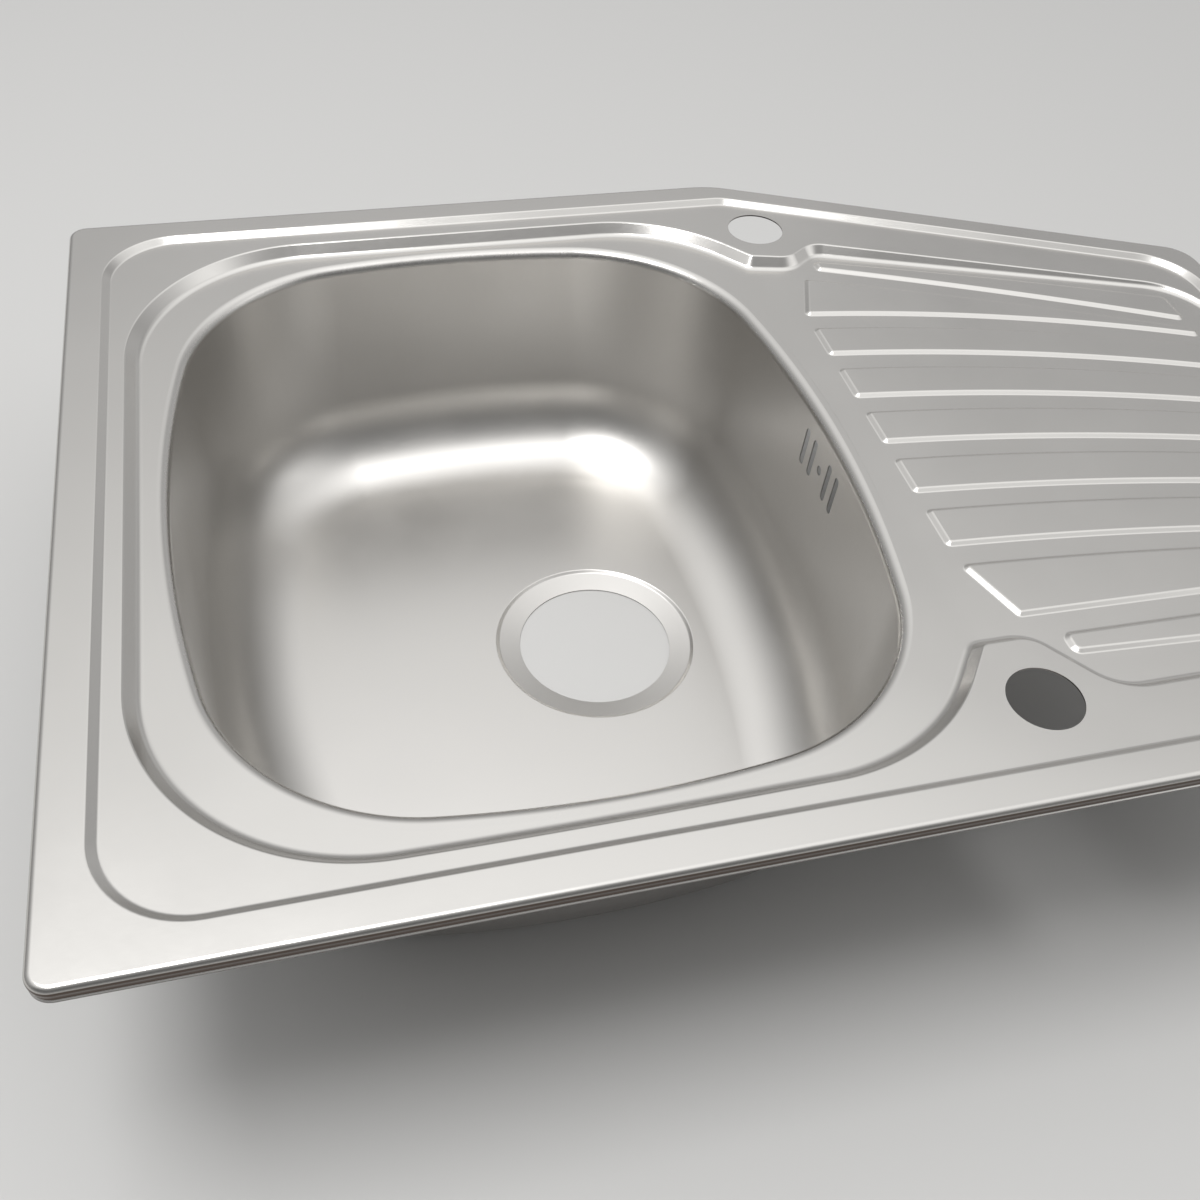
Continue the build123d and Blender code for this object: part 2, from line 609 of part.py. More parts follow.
for name, (point, outward) in clamps.items():
    # Hanger: a strap bent to a stirrup, its two feet welded under the deck
    with BuildPart() as hanger:
        half = HANGER_SPAN / 2
        foot = half + HANGER_FOOT
        with BuildSketch(upright_plane(point, outward)):
            with BuildLine():
                Polyline(
                    (-foot, 0),
                    (STRAP - half, 0),
                    (STRAP - half, STRAP - HANGER_HEIGHT),
                    (half - STRAP, STRAP - HANGER_HEIGHT),
                    (half - STRAP, 0),
                    (foot, 0),
                    (foot, -STRAP),
                    (half, -STRAP),
                    (half, -HANGER_HEIGHT),
                    (-half, -HANGER_HEIGHT),
                    (-half, -STRAP),
                    (-foot, -STRAP),
                    close=True,
                )
            make_face()
        extrude(amount=HANGER_DEPTH / 2, both=True)
        with BuildSketch(edge_plane(point, outward, PLATE_TOP)):
            Circle(SCREW_RADIUS + HOLE_CLEARANCE)
        extrude(amount=-STRAP, mode=Mode.SUBTRACT)
    pieces[f"hanger_{name}"] = hanger.part

    # Nut: a square nut welded on the stirrup's plate
    with BuildPart() as nut:
        with BuildSketch(edge_plane(point, outward, PLATE_TOP)):
            Rectangle(NUT_SIZE, NUT_SIZE)
            Circle(SCREW_RADIUS + THREAD_CLEARANCE, mode=Mode.SUBTRACT)
        extrude(amount=NUT_HEIGHT)
    pieces[f"nut_{name}"] = nut.part

    # Screw: a slotted hexagon head below, its thread up through claw and nut
    with BuildPart() as screw:
        with BuildSketch(edge_plane(point, outward, WASHER_UNDER)):
            Circle(SCREW_RADIUS)
        extrude(amount=SCREW_TOP - WASHER_UNDER)
        with BuildSketch(edge_plane(point, outward, WASHER_UNDER)):
            RegularPolygon(HEAD_SIZE / 2, HEAD_SIDES, major_radius=False)
        extrude(amount=-HEAD_HEIGHT)
        with BuildSketch(edge_plane(point, outward, WASHER_UNDER - HEAD_HEIGHT)):
            Rectangle(2 * HEAD_SIZE, HEAD_SLOT_WIDTH)
        extrude(amount=HEAD_SLOT_DEPTH, mode=Mode.SUBTRACT)
    pieces[f"screw_{name}"] = screw.part

    # Washer: lies on the screw's head and carries the claw
    with BuildPart() as washer:
        with BuildSketch(edge_plane(point, outward, WASHER_UNDER)):
            Circle(WASHER_RADIUS)
            Circle(SCREW_RADIUS + HOLE_CLEARANCE, mode=Mode.SUBTRACT)
        extrude(amount=WASHER_THICKNESS)
    pieces[f"washer_{name}"] = washer.part

    # Claw: an arm that swings out under the worktop, its end turned up and toothed
    with BuildPart() as claw:
        with BuildSketch(edge_plane(point, outward, ARM_UNDER)):
            Circle(CLAW_WIDTH / 2)
            Rectangle(CLAW_REACH, CLAW_WIDTH, align=(Align.MIN, Align.CENTER))
            Circle(SCREW_RADIUS + HOLE_CLEARANCE, mode=Mode.SUBTRACT)
        extrude(amount=CLAW_THICKNESS)
        arm = edge_plane(point, outward, ARM_UNDER)
        toe = Plane(origin=arm.from_local_coords((CLAW_REACH, 0, 0)), x_dir=arm.y_dir, z_dir=arm.x_dir)
        tooth_width = CLAW_WIDTH / TOOTH_COUNT
        with BuildSketch(toe):
            with BuildLine():
                corners = [(-CLAW_WIDTH / 2, 0)]
                for tooth in range(TOOTH_COUNT):
                    left = tooth * tooth_width - CLAW_WIDTH / 2
                    corners.append((left, CLAW_RISE - TOOTH_HEIGHT))
                    corners.append((left + tooth_width / 2, CLAW_RISE))
                corners.append((CLAW_WIDTH / 2, CLAW_RISE - TOOTH_HEIGHT))
                corners.append((CLAW_WIDTH / 2, 0))
                Polyline(*corners, close=True)
            make_face()
        extrude(amount=-CLAW_THICKNESS)
    pieces[f"claw_{name}"] = claw.part

os.makedirs("parts", exist_ok=True)
for name, piece in pieces.items():
    piece.label = name
    export_step(piece, f"parts/{name}.step")
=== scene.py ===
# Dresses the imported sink: smooth pressed steel, a satin bowl, threaded clamp screws and soft studio light.
import math

import bmesh
import bpy
import numpy as np
from mathutils import Matrix, Vector
from mathutils.geometry import delaunay_2d_cdt


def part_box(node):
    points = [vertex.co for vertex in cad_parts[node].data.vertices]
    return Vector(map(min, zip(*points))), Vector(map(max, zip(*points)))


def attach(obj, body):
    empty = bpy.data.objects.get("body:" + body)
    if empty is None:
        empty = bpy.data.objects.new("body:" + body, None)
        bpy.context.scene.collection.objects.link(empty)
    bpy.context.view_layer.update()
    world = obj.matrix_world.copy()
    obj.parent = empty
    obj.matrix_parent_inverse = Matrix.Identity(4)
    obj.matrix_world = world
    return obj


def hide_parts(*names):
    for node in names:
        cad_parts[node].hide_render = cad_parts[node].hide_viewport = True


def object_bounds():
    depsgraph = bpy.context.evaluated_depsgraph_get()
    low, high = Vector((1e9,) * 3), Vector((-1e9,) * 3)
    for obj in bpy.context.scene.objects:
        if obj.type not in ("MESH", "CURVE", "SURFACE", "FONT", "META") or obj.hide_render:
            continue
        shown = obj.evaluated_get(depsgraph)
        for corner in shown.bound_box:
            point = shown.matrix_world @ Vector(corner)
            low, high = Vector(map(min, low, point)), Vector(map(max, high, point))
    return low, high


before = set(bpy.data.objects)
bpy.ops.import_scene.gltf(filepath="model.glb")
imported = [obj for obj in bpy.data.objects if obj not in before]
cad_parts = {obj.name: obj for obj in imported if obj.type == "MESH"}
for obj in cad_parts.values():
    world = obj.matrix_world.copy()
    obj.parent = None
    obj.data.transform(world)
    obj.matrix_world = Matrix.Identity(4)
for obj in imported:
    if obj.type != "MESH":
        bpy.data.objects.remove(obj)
cad_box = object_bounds()
MM = 0.001

# Sizes in millimetres, the same as in the part's source
LENGTH = 690.0
WIDTH = 500.0
SHEET = 0.8
BEND_FROM_LEFT = 401.0
SLANT_ANGLE = math.radians(22.5)
CORNER_RADIUS = 10.0
BEND_RADIUS = 60.0
SLANT_CORNER_RADIUS = 22.0
RIM_TOP = 8.5
SKIRT_HEIGHT = 8.0
EDGE_RADIUS = 3.0
RIM_WIDTH = 17.5
LEFT_RIM_WIDTH = 19.5
SLANT_RIM_WIDTH = 15.0
RIGHT_RIM_WIDTH = 12.0
FIRST_RUN = 3.8
FIRST_DROP = 3.2
FIRST_RADIUS = 42.0
FIRST_BEND_RADIUS = 25.0
SECOND_INSET = 31.5
SECOND_RUN = 6.0
SECOND_DROP = 6.4
SECOND_RADIUS = 102.0
SECOND_BOW = 2.2
SECOND_BOW_RADIUS = 4000.0
TAP_RADIUS = 17.5
TAP_FROM_LEFT = 416.5
TAP_INSET = 53.5
LAND_CORNER_FROM_LEFT = 361.0
LAND_TIP_FROM_LEFT = 404.0
LAND_TIP_INSET = 88.0
LAND_TIP_WIDTH = 23.0
LAND_TIP_RADIUS = 4.0
LAND_SHOULDER_RADIUS = 14.0
LAND_FOOT_RUN = 27.0
LAND_FOOT_RADIUS = 30.0
REAR_LAND_FOOT_RUN = 20.0
REAR_LAND_FOOT_RADIUS = 16.0
REAR_LAND_SLOPE = 5.0
DRAINER_INSET = 51.0
REAR_FOOT_INSET = 51.0
SLANT_DRAINER_INSET = 42.0
RIGHT_DRAINER_INSET = 18.0
DRAINER_CORNER_RADIUS = 46.0
FOLD_FROM_LEFT = 405.0
FIELD_RISE = 4.0
PANEL_HEIGHT = 1.5
PANEL_SLOPE_RUN = 2.4
PANEL_CORNER_RADIUS = 3.4
PANEL_FROM_LEFT = 418.5
PANEL_END_MARGIN = 40.0
INNER_PANELS = 5
PANEL_INSET = 105.1
PANEL_GAP = 12.8
END_GAP = 9.8
BOW_SHARE = 0.13
WIDE_PANEL_WIDTH = 38.0
WIDE_PANEL_LEAN = 13.5
FRONT_WIDE_END_WIDTH = 16.6
REAR_WIDE_END_WIDTH = 8.93
REAR_EDGE_FROM_LEFT = 443.5
EDGE_BOW_SHARE = 0.03
REAR_EDGE_GAP = 7.0
REAR_EDGE_WIDTH = 10.5
REAR_EDGE_END_WIDTH = 26.0
FRONT_EDGE_FROM_LEFT = 446.5
FRONT_EDGE_CORNER_RADIUS = 5.0
FRONT_EDGE_INSET = 78.5
FRONT_EDGE_WIDTH = 13.4
FRONT_EDGE_END_INSET = 64.0
FRONT_EDGE_END_WIDTH = 22.0
REAR_CHANNEL = 8.0
FRONT_CHANNEL = 11.0
BOWL_FROM_LEFT = 51.0
BOWL_LENGTH = 342.0
BOWL_WIDTH = 404.0
SIDE_BOW_RADIUS = 620.0
END_BOW_RADIUS = 560.0
BOWL_CORNER_RADIUS = 103.0
BOWL_DEPTH = 141.0
BOWL_DRAFT = math.radians(2.5)
LIP_RADIUS = 7.0
FLANGE_WIDTH = 2.0
FLOOR_RADIUS = 50.0
WASTE_RADIUS = 45.0
WASTE_OFFSET = 49.5
RECESS_RADIUS = 59.0
RECESS_DEPTH = 3.8
SLOT_COUNT = 5
SLOT_PITCH = 10.7
SLOT_LENGTH = 24.0
SLOT_WIDTH = 5.2
SLOT_DROP = 35.8
OVERFLOW_SCREW_RADIUS = 2.75
SCREW_RADIUS = 2.4
THREAD_PITCH = 0.8
THREAD_DEPTH = 0.34
HEAD_SIZE = 8.0
HEAD_HEIGHT = 3.6
HEAD_SLOT_WIDTH = 1.2
HEAD_SLOT_DEPTH = 1.4

# Rounding of the pressed edges and other small forms, which the source leaves plain
FIRST_BENDS = (1.7, 2.2)
SECOND_BENDS = (1.7, 5.0)
PANEL_BENDS = (1.8, 2.4)
SEAT_BENDS = (1.2, 1.2)
SEAT_STEP = 1.4
SEAT_STEP_RUN = 1.8
LIP_BEND = 6.0
SKIRT_LEAN = math.radians(13)
HEM_WIDTH = 0.7
HEM_HEIGHT = 0.75
FOLD_BLEND = 6.0

# How finely the curves are drawn, and the margins kept between their points
LINE_SPACING = 4.0
ARC_STEP = math.radians(6)
BEND_STEPS = 4
GRID = 10.0
CLEAR = 3.0
NUDGE = 0.02
MERGE = 0.0002
FILLET_STEPS = 6
END_SLACK = 0.3
TAP_STEPS = 72
SLOT_STEPS = 32
FOLD_COLUMNS = 7
FOLD_REACH = 1.5 * FOLD_BLEND
ROUND_STEPS = 10
LIP_STEPS = 12
BEND_RINGS = 24
SIDE_STEPS = 48
CORNER_STEPS = 60
SEAT_STEPS = 120
SEAT_RINGS = 4
SLOT_CUT = 0.98

DECK_TOP = RIM_TOP - FIRST_DROP
SURROUND_TOP = DECK_TOP - SECOND_DROP
FLOOR_TOP = SURROUND_TOP - BOWL_DEPTH
SKIRT_BOTTOM = RIM_TOP - SKIRT_HEIGHT
HEM_TOP = SKIRT_BOTTOM + HEM_HEIGHT


def place(from_left, from_front):
    """A plan point measured from the left and the front edge."""
    return (from_left - LENGTH / 2, from_front - WIDTH / 2)


def slant_line(from_left, inset):
    """Distance from the front edge to a line inside the slanted rear edge."""
    run = from_left - BEND_FROM_LEFT
    return WIDTH - (run * math.sin(SLANT_ANGLE) + inset) / math.cos(SLANT_ANGLE)


def rim_corners(inset, left_inset, slant_inset, right_inset, radii):
    """The five corners of the top's outline, moved in from its edges."""
    right = LENGTH - right_inset
    bend = BEND_FROM_LEFT + (inset * math.cos(SLANT_ANGLE) - slant_inset) / math.sin(SLANT_ANGLE)
    points = [
        place(left_inset, inset),
        place(right, inset),
        place(right, slant_line(right, slant_inset)),
        place(bend, WIDTH - inset),
        place(left_inset, WIDTH - inset),
    ]
    return [(point, radius, None) for point, radius in zip(points, radii)]


def left_of(vector):
    """The vector turned a quarter to the left."""
    return np.array([-vector[1], vector[0]])


def angle_of(vector):
    """The direction of a vector in plan."""
    return math.atan2(vector[1], vector[0])


def cross(first, second):
    """How far the second vector turns to the left of the first, times both lengths."""
    return first[0] * second[1] - first[1] * second[0]


def arc_through(start, middle, end):
    """Centre, radius and turning sense of the arc through three points."""
    rows = 2 * np.array([middle - start, end - start])
    values = [middle @ middle - start @ start, end @ end - start @ start]
    centre = np.linalg.solve(rows, values)
    turn = math.copysign(1, cross(middle - start, end - middle))
    return centre, np.linalg.norm(start - centre), turn


def edge_depth(edge, point):
    """How far a point lies to the left of an edge, and the direction that leads further left."""
    start, along, bow = edge
    if bow is None:
        return left_of(along) @ (point - start), left_of(along)
    centre, radius, turn = bow
    ray = point - centre
    length = np.linalg.norm(ray)
    return turn * (radius - length), -turn * ray / length


def swept(first, last, turn):
    """The signed angle from one direction to another, in the given sense."""
    return turn * ((turn * (last - first)) % math.tau)


def closed_path(corners):
    """Lines and arcs round an outline, counter-clockwise, from corners with a radius and a bowed middle."""
    count = len(corners)
    points = [np.array(corner[0], float) for corner in corners]
    edges = []
    for index, (_, _, middle) in enumerate(corners):
        start = points[index]
        end = points[(index + 1) % count]
        along = (end - start) / np.linalg.norm(end - start)
        bow = None if middle is None else arc_through(start, np.array(middle, float), end)
        edges.append((start, along, bow))
    rounds = []
    for index in range(count):
        before, after = edges[index - 1], edges[index]
        turn = math.copysign(1, cross(before[1], after[1]))
        reach = turn * corners[index][1]
        centre = points[index]
        for _ in range(FILLET_STEPS):
            depth_before, slope_before = edge_depth(before, centre)
            depth_after, slope_after = edge_depth(after, centre)
            missing = [reach - depth_before, reach - depth_after]
            centre = centre + np.linalg.solve(np.array([slope_before, slope_after]), missing)
        rounds.append((centre, turn, centre - reach * slope_before, centre - reach * slope_after))
    pieces = []
    for index in range(count):
        centre, turn, first, last = rounds[index]
        start = angle_of(first - centre)
        sweep = swept(start, angle_of(last - centre), turn)
        pieces.append(("arc", centre, corners[index][1], start, sweep))
        bow = edges[index][2]
        following = rounds[(index + 1) % count][2]
        if bow is None:
            pieces.append(("line", last, following))
        else:
            centre, radius, turn = bow
            start = angle_of(last - centre)
            pieces.append(("arc", centre, radius, start, swept(start, angle_of(following - centre), turn)))
    return pieces


def samples(pieces):
    """Points along a path, each with its normal to the inside."""
    points = []
    normals = []
    for kind, *data in pieces:
        if kind == "line":
            first, last = data
            length = np.linalg.norm(last - first)
            count = max(1, math.ceil(length / LINE_SPACING))
            for step in range(count):
                points.append(first + (last - first) * step / count)
                normals.append(left_of((last - first) / length))
        else:
            centre, radius, first, sweep = data
            count = max(2, math.ceil(abs(sweep) * radius / LINE_SPACING), math.ceil(abs(sweep) / ARC_STEP))
            for step in range(count):
                angle = first + sweep * step / count
                outward = np.array([math.cos(angle), math.sin(angle)])
                points.append(centre + radius * outward)
                normals.append(-math.copysign(1, sweep) * outward)
    return np.array(points), np.array(normals)


def depth_inside(pieces, x, y):
    """Signed distance from a path, positive inside it."""
    best = np.full(x.shape, np.inf)
    signed = np.zeros(x.shape)
    for kind, *data in pieces:
        if kind == "line":
            first, last = data
            length = np.linalg.norm(last - first)
            along = (last - first) / length
            across_x = x - first[0]
            across_y = y - first[1]
            reach = np.clip(across_x * along[0] + across_y * along[1], 0, length)
            gap = np.hypot(across_x - along[0] * reach, across_y - along[1] * reach)
            side = along[0] * across_y - along[1] * across_x
        else:
            centre, radius, first, sweep = data
            turn = math.copysign(1, sweep)
            ray = np.hypot(x - centre[0], y - centre[1])
            angle = np.arctan2(y - centre[1], x - centre[0])
            ahead = (turn * (angle - first)) % math.tau
            slack = END_SLACK / radius
            covered = (ahead <= abs(sweep) + slack) | (ahead >= math.tau - slack)
            gap = np.where(covered, np.abs(ray - radius), np.inf)
            side = turn * (radius - ray)
        nearer = gap < best
        best = np.where(nearer, gap, best)
        signed = np.where(nearer, np.copysign(gap, side), signed)
    return signed


def fitted_bends(run, drop, bends):
    """A step's slope angle, its upper and lower rounding and how far each reaches out from its edge."""
    slope = np.arctan2(drop, run)
    half = np.tan(slope / 2)
    share = np.minimum(1, run / (sum(bends) * half * np.cos(slope)))
    head, foot = (bend * share for bend in bends)
    return slope, head, foot, head * half, foot * half


def ramp(depth, run, drop, bends):
    """Height lost on a step with rounded edges, from none outside to the whole drop inside."""
    slope, head, foot, head_reach, foot_reach = fitted_bends(run, drop, bends)
    upper = np.clip(depth + head_reach, 0, head * np.sin(slope))
    lower = np.clip(run + foot_reach - depth, 0, foot * np.sin(slope))
    height = depth * drop / run
    height = np.where(depth < head_reach * np.cos(slope), head - np.sqrt(head**2 - upper**2), height)
    low = drop - foot + np.sqrt(foot**2 - lower**2)
    return np.where(depth > run - foot_reach * np.cos(slope), low, height)


def ramp_rows(run, drop, bends):
    """Distances from a step's upper edge at which its rounded profile is drawn."""
    slope, head, foot, head_reach, foot_reach = fitted_bends(run, drop, bends)
    shares = [np.sin(slope * step / BEND_STEPS) for step in range(BEND_STEPS + 1)]
    upper = [head * share - head_reach for share in shares]
    lower = [run + foot_reach - foot * share for share in reversed(shares)]
    return upper + [(upper[-1] + lower[0]) / 2] + lower


def outline_path(inset):
    """The top's outline, moved in from its edge."""
    radii = [CORNER_RADIUS, CORNER_RADIUS, SLANT_CORNER_RADIUS, BEND_RADIUS, CORNER_RADIUS]
    return closed_path(rim_corners(inset, inset, inset, inset, [radius - inset for radius in radii]))


def first_step_path():
    """The first step's upper edge, all round the rim."""
    radii = [FIRST_RADIUS, FIRST_RADIUS, FIRST_RADIUS, FIRST_BEND_RADIUS, FIRST_RADIUS]
    return closed_path(rim_corners(RIM_WIDTH, LEFT_RIM_WIDTH, SLANT_RIM_WIDTH, RIGHT_RIM_WIDTH, radii))


def second_step_path():
    """The second step's upper edge: round the bowl, round both lands and round the drainer."""
    right = LENGTH - RIGHT_DRAINER_INSET
    tip_right = LAND_TIP_FROM_LEFT + LAND_TIP_WIDTH
    foot = tip_right + LAND_FOOT_RUN
    rear_foot = tip_right + REAR_LAND_FOOT_RUN
    rear_tip = WIDTH - LAND_TIP_INSET
    bow_from_left = (SECOND_INSET + LAND_CORNER_FROM_LEFT) / 2
    corners = [
        (place(SECOND_INSET, SECOND_INSET), SECOND_RADIUS),
        (place(bow_from_left, SECOND_INSET - SECOND_BOW), SECOND_BOW_RADIUS),
        (place(LAND_CORNER_FROM_LEFT, SECOND_INSET), SECOND_RADIUS),
        (place(LAND_TIP_FROM_LEFT, LAND_TIP_INSET), LAND_TIP_RADIUS),
        (place(tip_right, LAND_TIP_INSET), LAND_SHOULDER_RADIUS),
        (place(foot, DRAINER_INSET), LAND_FOOT_RADIUS),
        (place(right, DRAINER_INSET), DRAINER_CORNER_RADIUS),
        (place(right, slant_line(right, SLANT_DRAINER_INSET)), DRAINER_CORNER_RADIUS),
        (place(rear_foot, slant_line(rear_foot, REAR_FOOT_INSET)), REAR_LAND_FOOT_RADIUS),
        (place(tip_right, rear_tip), LAND_SHOULDER_RADIUS),
        (place(LAND_TIP_FROM_LEFT, rear_tip + REAR_LAND_SLOPE), LAND_TIP_RADIUS),
        (place(LAND_CORNER_FROM_LEFT, WIDTH - SECOND_INSET), SECOND_RADIUS),
        (place(SECOND_INSET, WIDTH - SECOND_INSET), SECOND_RADIUS),
    ]
    return closed_path([(point, radius, None) for point, radius in corners])


def panel_corners():
    """Each raised panel: the ends of its front and rear lines, the bow of both and its corner radius."""
    start = PANEL_FROM_LEFT
    end = LENGTH - PANEL_END_MARGIN

    # the slim panel along the front edge, and the one along the slanted rear edge
    edge = FRONT_EDGE_FROM_LEFT
    front_end = FRONT_EDGE_END_INSET + FRONT_EDGE_END_WIDTH
    front = (edge, FRONT_EDGE_INSET), (end, FRONT_EDGE_END_INSET)
    rear = (edge, FRONT_EDGE_INSET + FRONT_EDGE_WIDTH), (end, front_end)
    panels = [(front, rear, EDGE_BOW_SHARE, EDGE_BOW_SHARE, FRONT_EDGE_CORNER_RADIUS)]
    edge = REAR_EDGE_FROM_LEFT
    gap = SECOND_RUN + REAR_EDGE_GAP
    rear_near = slant_line(edge, REAR_FOOT_INSET + gap)
    rear_far = slant_line(end, SLANT_DRAINER_INSET + gap)
    rear_end = rear_far - REAR_EDGE_END_WIDTH
    front = (edge, rear_near - REAR_EDGE_WIDTH), (end, rear_end)
    rear = (edge, rear_near), (end, rear_far)
    panels.append((front, rear, EDGE_BOW_SHARE, EDGE_BOW_SHARE, PANEL_CORNER_RADIUS))

    # the panels between them share the room that the channels leave, with a wide one at either side
    channels = INNER_PANELS + 1
    near_room = WIDTH - 2 * (PANEL_INSET + WIDE_PANEL_WIDTH)
    near_width = (near_room - channels * PANEL_GAP) / INNER_PANELS
    far_start = front_end + FRONT_CHANNEL
    far_stop = rear_end - REAR_CHANNEL
    far_room = far_stop - far_start - FRONT_WIDE_END_WIDTH - REAR_WIDE_END_WIDTH
    far_width = (far_room - channels * END_GAP) / INNER_PANELS
    near = PANEL_INSET + WIDE_PANEL_WIDTH
    far = far_start + FRONT_WIDE_END_WIDTH
    front = (start + WIDE_PANEL_LEAN, PANEL_INSET), (end, far_start)
    rear = (start, near), (end, far)
    panels.append((front, rear, EDGE_BOW_SHARE, BOW_SHARE, PANEL_CORNER_RADIUS))
    for _ in range(INNER_PANELS):
        near += PANEL_GAP
        far += END_GAP
        front = (start, near), (end, far)
        near += near_width
        far += far_width
        rear = (start, near), (end, far)
        panels.append((front, rear, BOW_SHARE, BOW_SHARE, PANEL_CORNER_RADIUS))
    near += PANEL_GAP
    front = (start, near), (end, far + END_GAP)
    rear = (start + WIDE_PANEL_LEAN, near + WIDE_PANEL_WIDTH), (end, far_stop)
    panels.append((front, rear, BOW_SHARE, EDGE_BOW_SHARE, PANEL_CORNER_RADIUS))
    return panels


def panel_path(front, rear, front_bow, rear_bow, corner_radius):
    """One panel's foot, with its two long lines bowed to the rear."""

    def bowed(line, share):
        (start_x, start_y), (end_x, end_y) = line
        return place((start_x + end_x) / 2, (start_y + end_y) / 2 + share * (start_y - end_y))

    return closed_path([
        (place(*front[0]), corner_radius, bowed(front, front_bow)),
        (place(*front[1]), corner_radius, None),
        (place(*rear[1]), corner_radius, bowed(rear, rear_bow)),
        (place(*rear[0]), corner_radius, None),
    ])


BOWL_CENTRE = np.array(place(BOWL_FROM_LEFT + BOWL_LENGTH / 2, WIDTH / 2))
WASTE_CENTRE = BOWL_CENTRE + np.array([WASTE_OFFSET, 0])


def bowl_path(grown):
    """The bowl's outline as arcs: four bowed sides and four corners, grown outwards."""
    side = SIDE_BOW_RADIUS
    end = END_BOW_RADIUS
    corner = BOWL_CORNER_RADIUS
    side_centre = BOWL_LENGTH / 2 - side
    end_centre = BOWL_WIDTH / 2 - end
    side_reach = side - corner
    end_reach = end - corner
    apart = math.hypot(side_centre, end_centre)
    along = (apart**2 + side_reach**2 - end_reach**2) / (2 * apart)
    across = math.sqrt(side_reach**2 - along**2)
    towards = (-side_centre / apart, end_centre / apart)
    x = side_centre + along * towards[0] - across * towards[1]
    y = along * towards[1] + across * towards[0]
    side_angle = math.atan2(y, x - side_centre)
    end_angle = math.atan2(y - end_centre, x)
    quarter = [
        ((side_centre, 0), side, -side_angle, side_angle),
        ((x, y), corner, side_angle, end_angle),
        ((0, end_centre), end, end_angle, math.pi - end_angle),
        ((-x, y), corner, math.pi - end_angle, math.pi - side_angle),
    ]
    pieces = []
    for turned in (0, math.pi):
        for centre, radius, first, last in quarter:
            middle = BOWL_CENTRE + math.cos(turned) * np.array(centre)
            pieces.append(("arc", middle, radius + grown, first + turned, last - first))
    return pieces


def circle_points(centre, radius, count):
    """Points round a circle, with their normals to the inside."""
    angles = np.arange(count) * math.tau / count
    outward = np.stack([np.cos(angles), np.sin(angles)], 1)
    return np.array(centre) + radius * outward, -outward


def crossed(across, along):
    """Points at every crossing of two sets of lines."""
    first, second = np.meshgrid(across, along)
    return np.column_stack([first.ravel(), second.ravel()])


def raised(plan, height):
    """Plan points or directions with one height for all."""
    return np.column_stack([plan, np.full(len(plan), height)])


def unit(vectors):
    """Vectors of one length."""
    return vectors / np.linalg.norm(vectors, axis=1, keepdims=True)


def joined_lines(lines):
    """The kept points of closed lines in one list, and the edges between neighbours on each line."""
    points = np.zeros((0, 2))
    edges = []
    for line, kept in lines:
        numbers = len(points) + np.cumsum(kept) - 1
        for index in range(len(line)):
            if kept[index - 1] and kept[index]:
                edges.append((int(numbers[index - 1]), int(numbers[index])))
        points = np.vstack([points, line[kept]])
    return points, edges


def whole(line):
    """A closed line of which every point is kept."""
    return line, np.ones(len(line), bool)


class Surface:
    """One side of a sheet: points with normals, and the faces between them."""

    def __init__(self):
        self.points = np.zeros((0, 3))
        self.normals = np.zeros((0, 3))
        self.backs = np.zeros((0, 3))
        self.faces = []

    def add(self, points, normals, backs=None):
        first = len(self.points)
        if backs is None:
            backs = points - SHEET * normals
        self.points = np.vstack([self.points, points])
        self.normals = np.vstack([self.normals, normals])
        self.backs = np.vstack([self.backs, backs])
        return np.arange(first, first + len(points))

    def bridge(self, ring, other):
        """Faces between two closed rings of as many points."""
        for index in range(len(ring)):
            following = (index + 1) % len(ring)
            self.faces.append((ring[index], ring[following], other[following], other[index]))

    def fill(self, plan, ids, edges, keep, surface):
        """Triangles between points given in plan, where keep says which middles lie on the sheet.

        Where two given edges cross, a new point is laid on the surface.
        """
        made = delaunay_2d_cdt([tuple(point) for point in plan], edges, [], 0, MERGE, True)
        places = np.array([tuple(point) for point in made[0]])
        origin = np.array([ids[source[0]] if source else -1 for source in made[3]])
        crossings = np.flatnonzero(origin < 0)
        if len(crossings):
            origin[crossings] = self.add(*surface(places[crossings]))
        corners = np.array(made[2])
        middles = places[corners].mean(axis=1)
        kept = keep(middles[:, 0], middles[:, 1])
        self.faces += [tuple(origin[corner] for corner in face) for face in corners[kept]]

    def make(self, name):
        """The closed sheet as an object: front, back and the cut edges between them."""
        fronts = []
        for face in self.faces:
            a, b, c = (self.points[face[index]] for index in (0, 1, -1))
            flat = np.cross(b - a, c - a)
            wanted = self.normals[list(face)].sum(axis=0)
            fronts.append(tuple(face) if flat @ wanted > 0 else tuple(reversed(face)))
        used = sorted({index for face in fronts for index in face})
        position = {old: new for new, old in enumerate(used)}
        count = len(used)
        fronts = [tuple(position[index] for index in face) for face in fronts]
        points = self.points[used]
        normals = self.normals[used]
        vertices = np.vstack([points, self.backs[used]]) * MM
        backs = [tuple(index + count for index in reversed(face)) for face in fronts]
        directed = {(face[i - 1], face[i]) for face in fronts for i in range(len(face))}
        sides = [(b, a, a + count, b + count) for a, b in directed if (b, a) not in directed]
        sides.sort()
        loop_normals = [normals[index] for face in fronts for index in face]
        loop_normals += [-normals[index - count] for face in backs for index in face]
        for face in sides:
            flat = np.cross(vertices[face[1]] - vertices[face[0]], vertices[face[3]] - vertices[face[0]])
            flat /= max(np.linalg.norm(flat), 1e-12)
            loop_normals += [flat] * 4
        mesh = bpy.data.meshes.new(name)
        mesh.from_pydata(vertices.tolist(), [], fronts + backs + sides)
        # the underside is marked so that its material can paint shade on it and make it rougher
        outside = mesh.attributes.new("outside", "FLOAT", "POINT")
        outside.data.foreach_set("value", [0.0] * count + [1.0] * count)
        mesh.shade_smooth()
        mesh.normals_split_custom_set([tuple(normal) for normal in loop_normals])
        return new_object(name, mesh)


